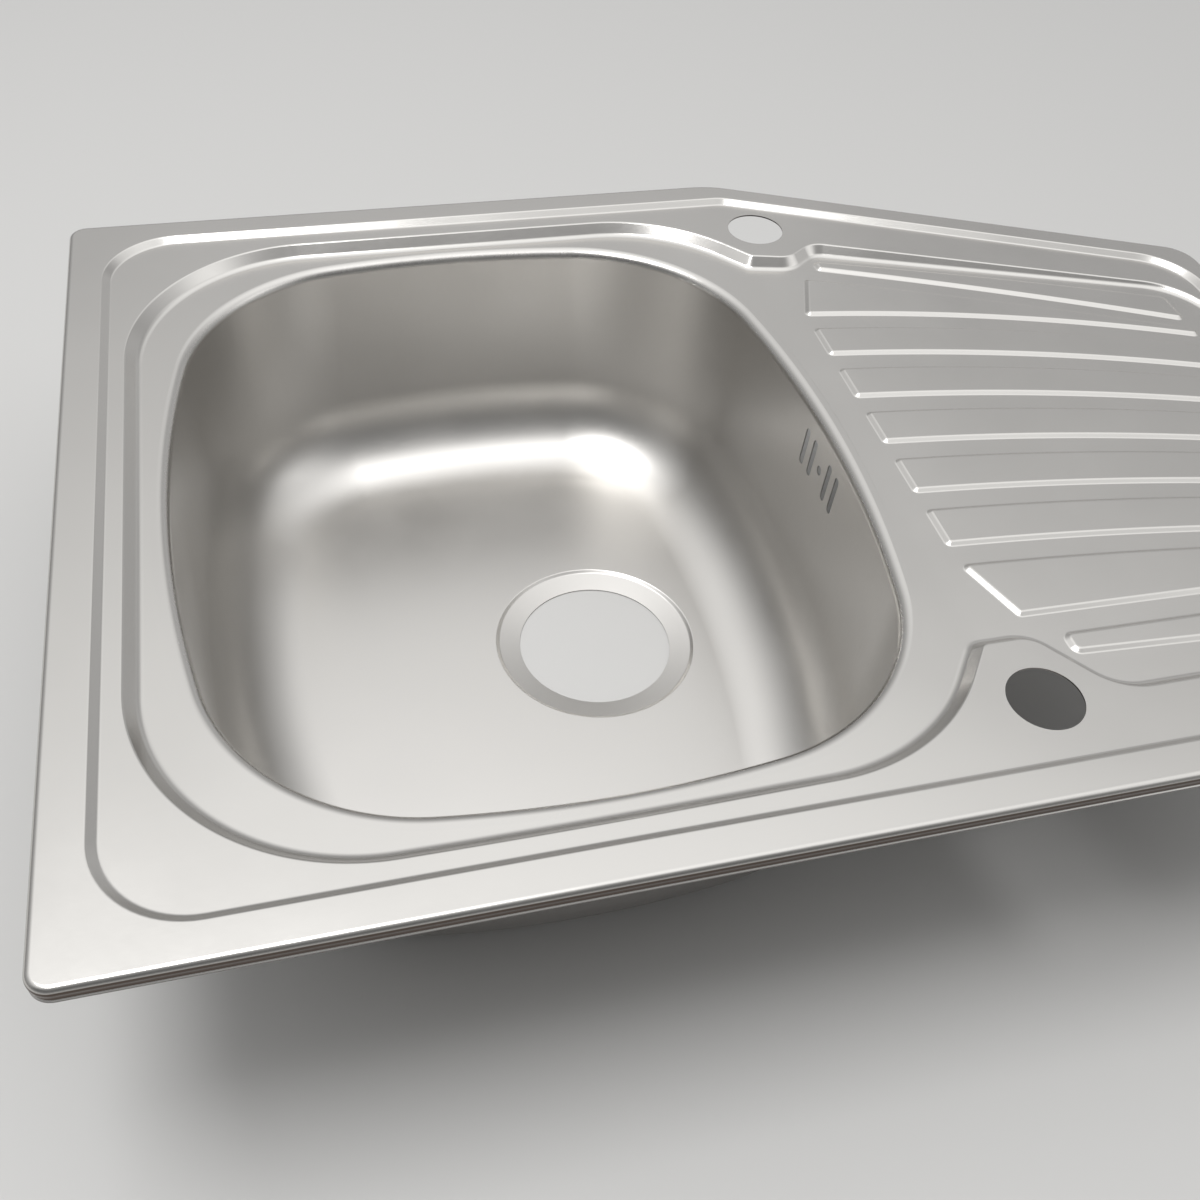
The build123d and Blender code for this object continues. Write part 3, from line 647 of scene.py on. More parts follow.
def new_object(name, data):
    """An object of a mesh, a lamp or a camera, in the scene."""
    made = bpy.data.objects.new(name, data)
    bpy.context.scene.collection.objects.link(made)
    return made


# Pressed top

rim_edge = outline_path(EDGE_RADIUS)
first_step = first_step_path()
second_step = second_step_path()
panel_paths = [panel_path(*panel) for panel in panel_corners()]
bowl_opening = bowl_path(LIP_RADIUS + FLANGE_WIDTH)
tap_places = [place(TAP_FROM_LEFT, TAP_INSET), place(TAP_FROM_LEFT, WIDTH - TAP_INSET)]
fold_x = place(FOLD_FROM_LEFT, 0)[0]
field_slope = FIELD_RISE / (LENGTH - RIGHT_DRAINER_INSET - FOLD_FROM_LEFT)


def field_height(x):
    """The floor beside the bowl and the drainer's field, which rises from a soft fold."""
    past = x - fold_x
    return SURROUND_TOP + field_slope * (past + np.sqrt(past**2 + FOLD_BLEND**2)) / 2


def second_shape(x):
    """Run and drop of the second step, which ends on the rising field."""
    drop = DECK_TOP - field_height(x)
    return SECOND_RUN * drop / SECOND_DROP, drop


def top_height(x, y):
    """Height of the top's upper surface inside the rounded rim edge."""
    height = RIM_TOP - ramp(depth_inside(first_step, x, y), FIRST_RUN, FIRST_DROP, FIRST_BENDS)
    run, drop = second_shape(x)
    height -= ramp(depth_inside(second_step, x, y), run, drop, SECOND_BENDS)
    for path in panel_paths:
        height += ramp(depth_inside(path, x, y), PANEL_SLOPE_RUN, PANEL_HEIGHT, PANEL_BENDS)
    return height


def surface_at(plan):
    """Points and normals of the top's upper surface."""
    x, y = plan[:, 0], plan[:, 1]
    slope_x = (top_height(x + NUDGE, y) - top_height(x - NUDGE, y)) / (2 * NUDGE)
    slope_y = (top_height(x, y + NUDGE) - top_height(x, y - NUDGE)) / (2 * NUDGE)
    normals = unit(np.stack([-slope_x, -slope_y, np.ones_like(x)], 1))
    return np.column_stack([x, y, top_height(x, y)]), normals


def step_lines(path, rows):
    """Plan points on each row of a step's profile, with those kept that lie on the sheet."""
    points, normals = samples(path)
    lines = [points + normals * np.reshape(row, (-1, 1)) for row in rows]
    return [(line, inside_top(line[:, 0], line[:, 1], NUDGE)) for line in lines]


def inside_top(x, y, margin):
    """Whether plan points lie on the pressed sheet, clear of its edges by a margin."""
    kept = depth_inside(rim_edge, x, y) > margin
    kept &= depth_inside(bowl_opening, x, y) < -margin
    for centre_x, centre_y in tap_places:
        kept &= np.hypot(x - centre_x, y - centre_y) > TAP_RADIUS + margin
    return kept


def plain_spots(x, y):
    """Whether plan points lie on flat sheet, away from every step."""
    kept = inside_top(x, y, CLEAR)
    zones = [(path, PANEL_SLOPE_RUN, PANEL_HEIGHT, PANEL_BENDS) for path in panel_paths]
    zones.append((first_step, FIRST_RUN, FIRST_DROP, FIRST_BENDS))
    zones.append((second_step, SECOND_RUN, SECOND_DROP, SECOND_BENDS))
    for path, run, drop, bends in zones:
        depth = depth_inside(path, x, y)
        *_, head_reach, foot_reach = fitted_bends(run, drop, bends)
        kept &= (depth < -head_reach - CLEAR) | (depth > run + foot_reach + CLEAR)
    return kept


top = Surface()
rim_plan, rim_inward = samples(rim_edge)
opening_plan, _ = samples(bowl_opening)
tap_plans = [circle_points(centre, TAP_RADIUS, TAP_STEPS)[0] for centre in tap_places]
lines = [whole(line) for line in (rim_plan, opening_plan, *tap_plans)]
lines += step_lines(first_step, ramp_rows(FIRST_RUN, FIRST_DROP, FIRST_BENDS))
second_x = samples(second_step)[0][:, 0]
lines += step_lines(second_step, ramp_rows(*second_shape(second_x), SECOND_BENDS))
for path in panel_paths:
    lines += step_lines(path, ramp_rows(PANEL_SLOPE_RUN, PANEL_HEIGHT, PANEL_BENDS))
line_plan, line_edges = joined_lines(lines)
fold_columns = fold_x + np.linspace(-FOLD_REACH, FOLD_REACH, FOLD_COLUMNS)
grid = np.vstack([
    crossed(np.arange(-LENGTH / 2, LENGTH / 2, GRID), np.arange(-WIDTH / 2, WIDTH / 2, GRID)),
    crossed(fold_columns, np.arange(-WIDTH / 2, WIDTH / 2, GRID / 2)),
])
grid = grid[plain_spots(grid[:, 0], grid[:, 1])]

plan = np.vstack([line_plan, grid])
ids = top.add(*surface_at(plan))
top.fill(plan, ids, line_edges, lambda x, y: inside_top(x, y, MERGE), surface_at)

# Rim edge: a round-over that goes a little past upright, a leaning skirt and a hem along its cut edge.
# Each row of the hem has a share of its width, a depth below its top and the lean of its normal
HEM_ROWS = [(0.0, 0.0, 75), (0.4, 0.15, 30), (1.0, 0.35, 35), (1.0, HEM_HEIGHT, 90)]
round_end = math.radians(90) + SKIRT_LEAN
edge_rings = []
for step in range(1, ROUND_STEPS + 1):
    angle = round_end * step / ROUND_STEPS
    out = EDGE_RADIUS * math.sin(angle)
    edge_rings.append((out, RIM_TOP - EDGE_RADIUS * (1 - math.cos(angle)), angle))
hem_out = edge_rings[-1][0] - (edge_rings[-1][1] - HEM_TOP) * math.tan(SKIRT_LEAN)
for share, low, lean in HEM_ROWS:
    edge_rings.append((hem_out + HEM_WIDTH * share, HEM_TOP - low, math.radians(lean)))
ring = ids[: len(rim_plan)]
for out, z, angle in edge_rings:
    points = raised(rim_plan - rim_inward * out, z)
    normals = raised(-rim_inward * math.sin(angle), math.cos(angle))
    backs = points - SHEET * normals
    if z <= HEM_TOP:
        backs = raised(rim_plan - rim_inward * (hem_out - SHEET), z)
    next_ring = top.add(points, normals, backs)
    top.bridge(ring, next_ring)
    ring = next_ring
sink_top = top.make("pressed_top")

# Bowl

bowl = Surface()
BOWL_STEPS = [SIDE_STEPS, CORNER_STEPS] * 4


def bowl_ring(inset, z, inward, up):
    """One ring round the bowl: its inset from the mouth's edge, its height and its normal."""
    points = []
    normals = []
    for (_, centre, radius, first, sweep), count in zip(bowl_path(-inset), BOWL_STEPS):
        angles = first + sweep * np.arange(count) / count
        outward = np.stack([np.cos(angles), np.sin(angles)], 1)
        points.append(raised(centre + radius * outward, z))
        normals.append(raised(-inward * outward, up))
    return np.vstack(points), np.vstack(normals)


lip_z = SURROUND_TOP - LIP_BEND
lip_inset = LIP_BEND * math.tan(BOWL_DRAFT) - LIP_BEND / math.cos(BOWL_DRAFT)
bend_z = FLOOR_TOP + FLOOR_RADIUS
bend_inset = FLOOR_RADIUS / math.cos(BOWL_DRAFT) + (SURROUND_TOP - bend_z) * math.tan(BOWL_DRAFT)
profile = [(-LIP_RADIUS - FLANGE_WIDTH, SURROUND_TOP, 0.0, 1.0)]
for step in range(LIP_STEPS + 1):
    angle = (math.radians(90) - BOWL_DRAFT) * step / LIP_STEPS
    inset = lip_inset + LIP_BEND * math.sin(angle)
    profile.append((inset, lip_z + LIP_BEND * math.cos(angle), math.sin(angle), math.cos(angle)))
wall_ring = len(profile) - 1
for step in range(BEND_RINGS + 1):
    angle = BOWL_DRAFT + (math.radians(90) - BOWL_DRAFT) * step / BEND_RINGS
    inset = bend_inset - FLOOR_RADIUS * math.cos(angle)
    profile.append((inset, bend_z - FLOOR_RADIUS * math.sin(angle), math.cos(angle), math.sin(angle)))
rings = [bowl.add(*bowl_ring(*row)) for row in profile]

# the middle third of the wall's right side is drawn with its overflow slots
slot_columns = range(SIDE_STEPS // 3, 2 * SIDE_STEPS // 3)
for upper, lower in zip(rings, rings[1:]):
    count = len(upper)
    is_wall = upper is rings[wall_ring]
    for column in range(count):
        if is_wall and column in slot_columns:
            continue
        following = (column + 1) % count
        bowl.faces.append((upper[column], upper[following], lower[following], lower[column]))

side_x = BOWL_CENTRE[0] + BOWL_LENGTH / 2 - SIDE_BOW_RADIUS


def wall_point(along, z):
    """A point and normal on the right wall, from its distance along the wall and its height."""
    angle = along / SIDE_BOW_RADIUS
    radius = SIDE_BOW_RADIUS - (SURROUND_TOP - z) * math.tan(BOWL_DRAFT)
    outward = np.stack([np.cos(angle), np.sin(angle)], -1)
    points = np.column_stack([side_x + radius * outward[:, 0], radius * outward[:, 1], z])
    return points, raised(-math.cos(BOWL_DRAFT) * outward, math.sin(BOWL_DRAFT))


def slot_outline(length, width):
    """Round-ended slot about its own centre, or a circle where both sizes are the same."""
    angles = np.arange(SLOT_STEPS) * math.tau / SLOT_STEPS + math.pi / SLOT_STEPS
    lift = np.where(np.sin(angles) > 0, 1, -1) * (length - width) / 2
    return np.column_stack([width / 2 * np.cos(angles), width / 2 * np.sin(angles) + lift])


slot_z = RIM_TOP - SLOT_DROP
patch_columns = [*slot_columns, slot_columns.stop]
_, _, _, side_first, side_sweep = bowl_path(0)[0]
column_along = [(side_first + side_sweep * column / SIDE_STEPS) * SIDE_BOW_RADIUS for column in patch_columns]
top_z, low_z = profile[wall_ring][1], profile[wall_ring + 1][1]
frame_plan = [(along, top_z) for along in column_along]
frame_plan += [(along, low_z) for along in reversed(column_along)]
frame_ids = [rings[wall_ring][column] for column in patch_columns]
frame_ids += [rings[wall_ring + 1][column] for column in reversed(patch_columns)]

# each opening's distance along the wall, length and width, with a round screw hole as the middle one
slots = [(SLOT_PITCH * (slot - SLOT_COUNT // 2), SLOT_LENGTH, SLOT_WIDTH) for slot in range(SLOT_COUNT)]
slots[SLOT_COUNT // 2] = (0.0, 2 * OVERFLOW_SCREW_RADIUS, 2 * OVERFLOW_SCREW_RADIUS)
slot_plans = [slot_outline(length, width) + np.array([along, slot_z]) for along, length, width in slots]
inner_plan = crossed(column_along[1:-1], np.arange(low_z + GRID, top_z - GRID / 2, GRID))
near_slots = np.abs(inner_plan[:, 0]) < SLOT_PITCH * SLOT_COUNT / 2
near_slots &= np.abs(inner_plan[:, 1] - slot_z) < SLOT_LENGTH / 2 + CLEAR
inner_plan = inner_plan[~near_slots]
patch_lines = [whole(line) for line in (np.array(frame_plan), *slot_plans)]
patch_plan, patch_edges = joined_lines(patch_lines)
patch_plan = np.vstack([patch_plan, inner_plan])
inner_points = patch_plan[len(frame_plan):]
patch_ids = [*frame_ids, *bowl.add(*wall_point(inner_points[:, 0], inner_points[:, 1]))]


def on_wall(x, y):
    """Whether wall points lie outside every slot."""
    kept = np.ones(x.shape, bool)
    for along, length, width in slots:
        rise = np.maximum(np.abs(y - slot_z) - (length - width) / 2, 0)
        kept &= np.hypot(x - along, rise) > SLOT_CUT * width / 2
    return kept


bowl.fill(patch_plan, patch_ids, patch_edges, on_wall, lambda plan: wall_point(plan[:, 0], plan[:, 1]))

# Floor, waste seat and waste hole


def seat_drop(depth):
    """Height lost from the floor into the waste seat: a small step, then a cone down to the hole."""
    past = np.maximum(depth - SEAT_STEP_RUN, 0)
    cone_slope = (RECESS_DEPTH - SEAT_STEP) / (RECESS_RADIUS - WASTE_RADIUS - SEAT_STEP_RUN)
    return ramp(depth, SEAT_STEP_RUN, SEAT_STEP, SEAT_BENDS) + cone_slope * past


recess_rows = ramp_rows(SEAT_STEP_RUN, SEAT_STEP, SEAT_BENDS)
cone_rows = np.linspace(recess_rows[-1], RECESS_RADIUS - WASTE_RADIUS, SEAT_RINGS)
seat_rings = []
for row in [*recess_rows, *cone_rows[1:]]:
    circle, inward = circle_points(WASTE_CENTRE, RECESS_RADIUS - row, SEAT_STEPS)
    slope = (seat_drop(row + NUDGE) - seat_drop(row - NUDGE)) / (2 * NUDGE)
    normals = unit(raised(inward * slope, 1))
    seat_rings.append(bowl.add(raised(circle, FLOOR_TOP - seat_drop(row)), normals))
for upper, lower in zip(seat_rings, seat_rings[1:]):
    bowl.bridge(upper, lower)
floor_path = bowl_path(-bend_inset)


def on_floor(x, y, margin):
    """Whether plan points lie on the floor, clear of its bend and the waste seat by a margin."""
    from_waste = np.hypot(x - WASTE_CENTRE[0], y - WASTE_CENTRE[1])
    return (depth_inside(floor_path, x, y) > margin) & (from_waste > RECESS_RADIUS - recess_rows[0] + margin)


def floor_at(plan):
    """Points and normals of the bowl's flat floor."""
    return raised(plan, FLOOR_TOP), raised(np.zeros_like(plan), 1)


floor_grid = crossed(
    np.arange(-BOWL_LENGTH / 2, BOWL_LENGTH / 2, GRID) + BOWL_CENTRE[0],
    np.arange(-BOWL_WIDTH / 2, BOWL_WIDTH / 2, GRID),
)
floor_grid = floor_grid[on_floor(floor_grid[:, 0], floor_grid[:, 1], CLEAR)]
grid_ids = bowl.add(*floor_at(floor_grid))
floor_lines = [whole(bowl.points[ring][:, :2]) for ring in (rings[-1], seat_rings[0])]
floor_plan, floor_edges = joined_lines(floor_lines)
floor_plan = np.vstack([floor_plan, floor_grid])
floor_ids = np.concatenate([rings[-1], seat_rings[0], grid_ids])
bowl.fill(floor_plan, floor_ids, floor_edges, lambda x, y: on_floor(x, y, -NUDGE), floor_at)
bowl_piece = bowl.make("drawn_bowl")

# Materials

# Upward part of the normal up to which a turned-down edge takes a painted dark reflection in its colour, and
# from which it doesn't
UPRIGHT_FROM = 0.28
UPRIGHT_TO = 0.5
# Painted shade: the underside's darker colour, which deepens the shade under the sink
OUTSIDE_PAINTED_SHADE = (0.3, 0.29, 0.28)
OUTSIDE_ROUGHER = 0.25
GRAIN_DETAIL = 3
PATCH_SCALE = (16, 16, 16)
PATCH_DETAIL = 4
PATCH_ROUGHNESS = 0.03
WAVE_SCALE = (8, 10, 9)
WAVE_DETAIL = 1
MOTTLE_DETAIL = 5
MOTTLE_SHADE = 0.78
MOTTLE_ROUGHNESS = 0.08
CELL_DETAIL = 6
CELL_ROUGHNESS = 0.85
NOISE_LOW = 0.3
NOISE_HIGH = 0.7


def new_material(name, colour, metallic, roughness):
    """A material with a shader whose plain numbers sit on its own sockets."""
    material = bpy.data.materials.new(name)
    material.use_nodes = True
    shader = material.node_tree.nodes["Principled BSDF"]
    shader.inputs["Base Color"].default_value = (*colour, 1)
    shader.inputs["Metallic"].default_value = metallic
    shader.inputs["Roughness"].default_value = roughness
    return material, material.node_tree, shader


def noise(tree, scale, detail):
    """A noise in the piece's own coordinates, drawn out by a scale along each axis."""
    place_node = tree.nodes.new("ShaderNodeTexCoord")
    stretch = tree.nodes.new("ShaderNodeMapping")
    stretch.inputs["Scale"].default_value = scale
    texture = tree.nodes.new("ShaderNodeTexNoise")
    texture.inputs["Scale"].default_value = 1
    texture.inputs["Detail"].default_value = detail
    tree.links.new(place_node.outputs["Object"], stretch.inputs["Vector"])
    tree.links.new(stretch.outputs["Vector"], texture.inputs["Vector"])
    return texture.outputs["Fac"]


def ranged(tree, value, span, results, kind):
    """A value carried from one span to another."""
    node = tree.nodes.new("ShaderNodeMapRange")
    node.interpolation_type = kind
    for socket, limit in zip(("From Min", "From Max", "To Min", "To Max"), (*span, *results)):
        node.inputs[socket].default_value = limit
    tree.links.new(value, node.inputs["Value"])
    return node.outputs["Result"]


def spread(tree, value, low, high):
    """A noise mapped to a range."""
    return ranged(tree, value, (NOISE_LOW, NOISE_HIGH), (low, high), "LINEAR")


def bump(tree, value, distance):
    """A fine relief from a value."""
    node = tree.nodes.new("ShaderNodeBump")
    node.inputs["Distance"].default_value = distance
    node.inputs["Strength"].default_value = 1
    tree.links.new(value, node.inputs["Height"])
    return node.outputs["Normal"]


def number(tree, operation, first, second):
    """The result of an operation on two values, each a socket or a plain number."""
    node = tree.nodes.new("ShaderNodeMath")
    node.operation = operation
    for socket, value in zip(node.inputs, (first, second)):
        if isinstance(value, (int, float)):
            socket.default_value = value
        else:
            tree.links.new(value, socket)
    return node.outputs["Value"]


def eased(tree, value, low, high, low_result, high_result):
    """A smooth change between two results while a value goes from low to high."""
    return ranged(tree, value, (low, high), (low_result, high_result), "SMOOTHSTEP")


def height_of(tree, node_kind, output):
    """The upward part of the piece's own coordinates or of its normal."""
    source = tree.nodes.new(node_kind)
    parts = tree.nodes.new("ShaderNodeSeparateXYZ")
    tree.links.new(source.outputs[output], parts.inputs["Vector"])
    return parts.outputs["Z"]


def mixed(tree, share, first, second):
    """A colour between two others, the first of which may be a socket."""
    node = tree.nodes.new("ShaderNodeMixRGB")
    if isinstance(first, tuple):
        node.inputs["Color1"].default_value = (*first, 1)
    else:
        tree.links.new(first, node.inputs["Color1"])
    node.inputs["Color2"].default_value = (*second, 1)
    tree.links.new(share, node.inputs["Fac"])
    return node.outputs["Color"]


def steel(name, colour, rough, lip_rough, grain, uneven, wave_depth, painted_upright_reflection=None):
    """Rolled or drawn steel: fine grain, uneven polish, a slight wave in the sheet and a rougher outside
    whose darker colour is painted shade; upright faces can take a painted dark reflection.
    """
    material, tree, shader = new_material(name, colour, 1.0, rough)
    tone = colour
    # upright faces get a painted dark reflection mixed into their colour
    if painted_upright_reflection is not None:
        level = number(tree, "ABSOLUTE", height_of(tree, "ShaderNodeNewGeometry", "Normal"), 0)
        tone = mixed(tree, eased(tree, level, UPRIGHT_FROM, UPRIGHT_TO, 1, 0), tone, painted_upright_reflection)
    # the sheet's underside gets painted shade in its colour, and more roughness
    outside = tree.nodes.new("ShaderNodeAttribute")
    outside.attribute_name = "outside"
    tree.links.new(mixed(tree, outside.outputs["Fac"], tone, OUTSIDE_PAINTED_SHADE), shader.inputs["Base Color"])
    height = height_of(tree, "ShaderNodeTexCoord", "Object")
    polish = eased(tree, height, lip_z * MM, SURROUND_TOP * MM, rough, lip_rough)
    fine = spread(tree, noise(tree, grain, GRAIN_DETAIL), -uneven, uneven)
    patches = spread(tree, noise(tree, PATCH_SCALE, PATCH_DETAIL), -PATCH_ROUGHNESS, PATCH_ROUGHNESS)
    blotch = number(tree, "ADD", fine, patches)
    dull = number(tree, "MULTIPLY", outside.outputs["Fac"], OUTSIDE_ROUGHER)
    roughness = number(tree, "ADD", number(tree, "ADD", blotch, dull), polish)
    tree.links.new(roughness, shader.inputs["Roughness"])
    wave = noise(tree, WAVE_SCALE, WAVE_DETAIL)
    tree.links.new(bump(tree, wave, wave_depth), shader.inputs["Normal"])
    return material


def pressed(name, colour, rough, scale, depth):
    """Small plated or rolled fixings: a mottled tone and a fine uneven surface."""
    material, tree, shader = new_material(name, colour, 1.0, rough)
    mottle = noise(tree, (scale, scale, scale), MOTTLE_DETAIL)
    shade = tuple(MOTTLE_SHADE * part for part in colour)
    roughness = spread(tree, mottle, rough - MOTTLE_ROUGHNESS, rough + MOTTLE_ROUGHNESS)
    tree.links.new(mixed(tree, spread(tree, mottle, 0, 1), shade, colour), shader.inputs["Base Color"])
    tree.links.new(roughness, shader.inputs["Roughness"])
    tree.links.new(bump(tree, mottle, depth), shader.inputs["Normal"])
    return material


def soft(name, colour, light_colour, scale, depth):
    """Foam or rubber: two tones of cells and a pitted surface."""
    material, tree, shader = new_material(name, colour, 0.0, CELL_ROUGHNESS)
    cells = noise(tree, (scale, scale, scale), CELL_DETAIL)
    tone = mixed(tree, spread(tree, cells, 0, 1), colour, light_colour)
    tree.links.new(tone, shader.inputs["Base Color"])
    tree.links.new(bump(tree, cells, depth), shader.inputs["Normal"])
    return material


top_steel = steel(
    "top_steel",
    colour=(0.65, 0.636, 0.613),
    rough=0.22,
    lip_rough=0.22,
    grain=(260, 900, 260),
    uneven=0.012,
    wave_depth=0.00035,
    # painted dark reflection on the skirt, the hem and the cut edges
    painted_upright_reflection=(0.1, 0.078, 0.066),
)
bowl_steel = steel(
    "bowl_steel",
    colour=(0.645, 0.631, 0.609),
    rough=0.36,
    lip_rough=0.23,
    grain=(500, 500, 90),
    uneven=0.02,
    wave_depth=0.0003,
)
tag_steel = pressed("tag_steel", colour=(0.6, 0.59, 0.57), rough=0.3, scale=900, depth=0.00001)
hanger_steel = pressed("hanger_steel", colour=(0.58, 0.575, 0.56), rough=0.34, scale=700, depth=0.00001)
zinc_plate = pressed("zinc_plate", colour=(0.68, 0.69, 0.7), rough=0.27, scale=1200, depth=0.000006)
claw_steel = pressed("claw_steel", colour=(0.64, 0.65, 0.66), rough=0.36, scale=600, depth=0.000015)
seal_foam = soft(
    "seal_foam", colour=(0.6, 0.59, 0.56), light_colour=(0.78, 0.77, 0.74), scale=1500, depth=0.0001
)
pad_rubber = soft(
    "pad_rubber", colour=(0.05, 0.05, 0.05), light_colour=(0.11, 0.11, 0.11), scale=500, depth=0.0002
)

for piece, node, slot, material in (
    (sink_top, "sink_top", "top_steel", top_steel),
    (bowl_piece, "bowl", "bowl_steel", bowl_steel),
):
    piece.data.materials.append(material)
    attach(piece, "sink")
    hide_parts(node)

# Clamp screws: rolled threads above slotted hexagon heads

COLUMNS = 24
ROWS_PER_TURN = 6
THREAD_ROOT = 0.3
TIP_TAPER = 1.0
GROOVE_SLOPE = 1.3
GROOVE_CREST = 0.15
HEAD_BEVEL = 0.15
BEVEL_SEGMENTS = 2
BEVEL_PROFILE = 0.5
SHARP_ANGLE = math.radians(35)


def add_thread(shape, low, high):
    """A right-hand thread between two heights, tapered at its tip and closed at both ends."""
    rows = math.ceil((high - low) / THREAD_PITCH * ROWS_PER_TURN)
    rings = []
    for row in range(rows + 1):
        z = low + (high - low) * row / rows
        limit = SCREW_RADIUS - THREAD_DEPTH * max(0, z - high + TIP_TAPER) / TIP_TAPER
        ring = []
        for column in range(COLUMNS):
            angle = math.tau * column / COLUMNS
            phase = (z / THREAD_PITCH - column / COLUMNS) % 1
            groove = min(1, max(0, GROOVE_SLOPE * abs(2 * phase - 1) - GROOVE_CREST))
            radius = min(limit, SCREW_RADIUS - THREAD_DEPTH * groove)
            ring.append(shape.verts.new((radius * math.cos(angle), radius * math.sin(angle), z)))
        rings.append(ring)
    for lower, upper in zip(rings, rings[1:]):
        for column in range(COLUMNS):
            following = (column + 1) % COLUMNS
            shape.faces.new((lower[column], lower[following], upper[following], upper[column]))
    shape.faces.new(list(reversed(rings[0])))
    shape.faces.new(rings[-1])


def add_head(shape):
    """A hexagon head below zero, with a slot across its underside and softened edges."""
    corner = HEAD_SIZE / math.sqrt(3)
    flat = HEAD_SIZE / 2
    slot = HEAD_SLOT_WIDTH / 2
    slot_end = corner - slot / math.sqrt(3)
    slot_top = HEAD_SLOT_DEPTH - HEAD_HEIGHT
    corners = {}

    def face(*places):
        for place_key in places:
            if place_key not in corners:
                corners[place_key] = shape.verts.new(place_key)
        shape.faces.new([corners[place_key] for place_key in places])

    half = corner / 2
    hexagon = [(corner, 0), (half, flat), (-half, flat), (-corner, 0), (-half, -flat), (half, -flat)]
    face(*[(x, y, 0) for x, y in hexagon])
    slot_floor = [(slot_end, slot), (corner, 0), (slot_end, -slot)]
    slot_floor += [(-x, -y) for x, y in slot_floor]
    face(*[(x, y, slot_top) for x, y in slot_floor])
    for side in (1, -1):
        ends = [(slot_end, side * slot), (-slot_end, side * slot)]
        edge = [(half, side * flat), (-half, side * flat)]
        face(*[(x, y, -HEAD_HEIGHT) for x, y in (ends[0], *edge, ends[1])])
        face(*[(x, y, slot_top) for x, y in ends], *[(x, y, -HEAD_HEIGHT) for x, y in reversed(ends)])
        face(*[(x, y, 0) for x, y in edge], *[(x, y, -HEAD_HEIGHT) for x, y in reversed(edge)])
        for end in (1, -1):
            face(
                (end * corner, 0, 0),
                (end * half, side * flat, 0),
                (end * half, side * flat, -HEAD_HEIGHT),
                (end * slot_end, side * slot, -HEAD_HEIGHT),
                (end * slot_end, side * slot, slot_top),
                (end * corner, 0, slot_top),
            )
    bmesh.ops.recalc_face_normals(shape, faces=shape.faces[:])
    bmesh.ops.bevel(
        shape,
        geom=shape.edges[:],
        offset=HEAD_BEVEL,
        segments=BEVEL_SEGMENTS,
        profile=BEVEL_PROFILE,
        affect="EDGES",
        clamp_overlap=True,
    )


def clamp_screw(name, outward):
    """The screw of one clamp, in the place of its plain solid."""
    low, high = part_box(f"screw_{name}")
    shape = bmesh.new()
    add_head(shape)
    add_thread(shape, -THREAD_ROOT, (high[2] - low[2]) / MM - HEAD_HEIGHT)
    mesh = bpy.data.meshes.new(f"thread_{name}")
    shape.to_mesh(mesh)
    shape.free()
    seat = Matrix.Translation(((low[0] + high[0]) / 2, (low[1] + high[1]) / 2, low[2] + HEAD_HEIGHT * MM))
    mesh.transform(seat @ Matrix.Rotation(outward - math.radians(90), 4, "Z") @ Matrix.Scale(MM, 4))
    mesh.shade_smooth()
    mesh.set_sharp_from_angle(angle=SHARP_ANGLE)
    return new_object(f"thread_{name}", mesh)


# Each clamp's name and the direction out of the sink there
CLAMPS = {
    "left_front": math.radians(180),
    "left_rear": math.radians(180),
    "front_near": math.radians(270),
    "front_far": math.radians(270),
    "front_drainer": math.radians(270),
    "rear_near": math.radians(90),
    "rear_far": math.radians(90),
    "rear_drainer": math.radians(90) - SLANT_ANGLE,
}
EDGE_SOFTENING = 0.00025
SOFTENED_ANGLE = math.radians(40)


def dress(node, material):
    """A solid of the part with its material and softened edges."""
    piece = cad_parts[node]
    piece.data.materials.clear()
    piece.data.materials.append(material)
    softened = piece.modifiers.new("softened", "BEVEL")
    softened.width = EDGE_SOFTENING
    softened.segments = BEVEL_SEGMENTS
    softened.limit_method = "ANGLE"
    softened.angle_limit = SOFTENED_ANGLE


for clamp, outward in CLAMPS.items():
    screw = clamp_screw(clamp, outward)
    screw.data.materials.append(zinc_plate)
    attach(screw, f"screw_{clamp}")
    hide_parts(f"screw_{clamp}")
    dress(f"hanger_{clamp}", hanger_steel)
    dress(f"nut_{clamp}", zinc_plate)
    dress(f"washer_{clamp}", zinc_plate)
    dress(f"claw_{clamp}", claw_steel)
dress("earth_tag", tag_steel)
dress("sound_pad", pad_rubber)
dress("rim_seal", seal_foam)

# Floor, on which the bowl stands
FLOOR_REACH = 60.0
FLOOR_COLOUR = (0.585, 0.581, 0.571)
FLOOR_ROUGHNESS = 0.6
floor_z = cad_box[0][2]
floor_mesh = bpy.data.meshes.new("floor")
corners = [(-1, -1), (1, -1), (1, 1), (-1, 1)]
floor_mesh.from_pydata([(x * FLOOR_REACH, y * FLOOR_REACH, floor_z) for x, y in corners], [], [(0, 1, 2, 3)])
floor = new_object("floor", floor_mesh)
floor_material, floor_tree, floor_shader = new_material("floor", FLOOR_COLOUR, 0.0, FLOOR_ROUGHNESS)

# seen from below, the floor gives way to the sink's underside
from_below = floor_tree.nodes.new("ShaderNodeNewGeometry")
clear = floor_tree.nodes.new("ShaderNodeBsdfTransparent")
one_sided = floor_tree.nodes.new("ShaderNodeMixShader")
floor_tree.links.new(from_below.outputs["Backfacing"], one_sided.inputs["Fac"])
floor_tree.links.new(floor_shader.outputs["BSDF"], one_sided.inputs[1])
floor_tree.links.new(clear.outputs["BSDF"], one_sided.inputs[2])
floor_tree.links.new(one_sided.outputs["Shader"], floor_tree.nodes["Material Output"].inputs["Surface"])
floor.data.materials.append(floor_material)

# Light of the room: brighter towards its ceiling, each level given by how closely a direction points there
CEILING_AIM = (0.08, 0.06, 0.995)
CEILING_LEVELS = [
    (0.0, 0.28), (0.34, 0.43), (0.5, 0.54), (0.58, 0.64), (0.66, 0.79),
    (0.73, 0.88), (0.79, 0.98), (0.85, 1.1), (0.91, 1.22), (1.0, 1.3),
]
SKY_STRENGTH = 1.7

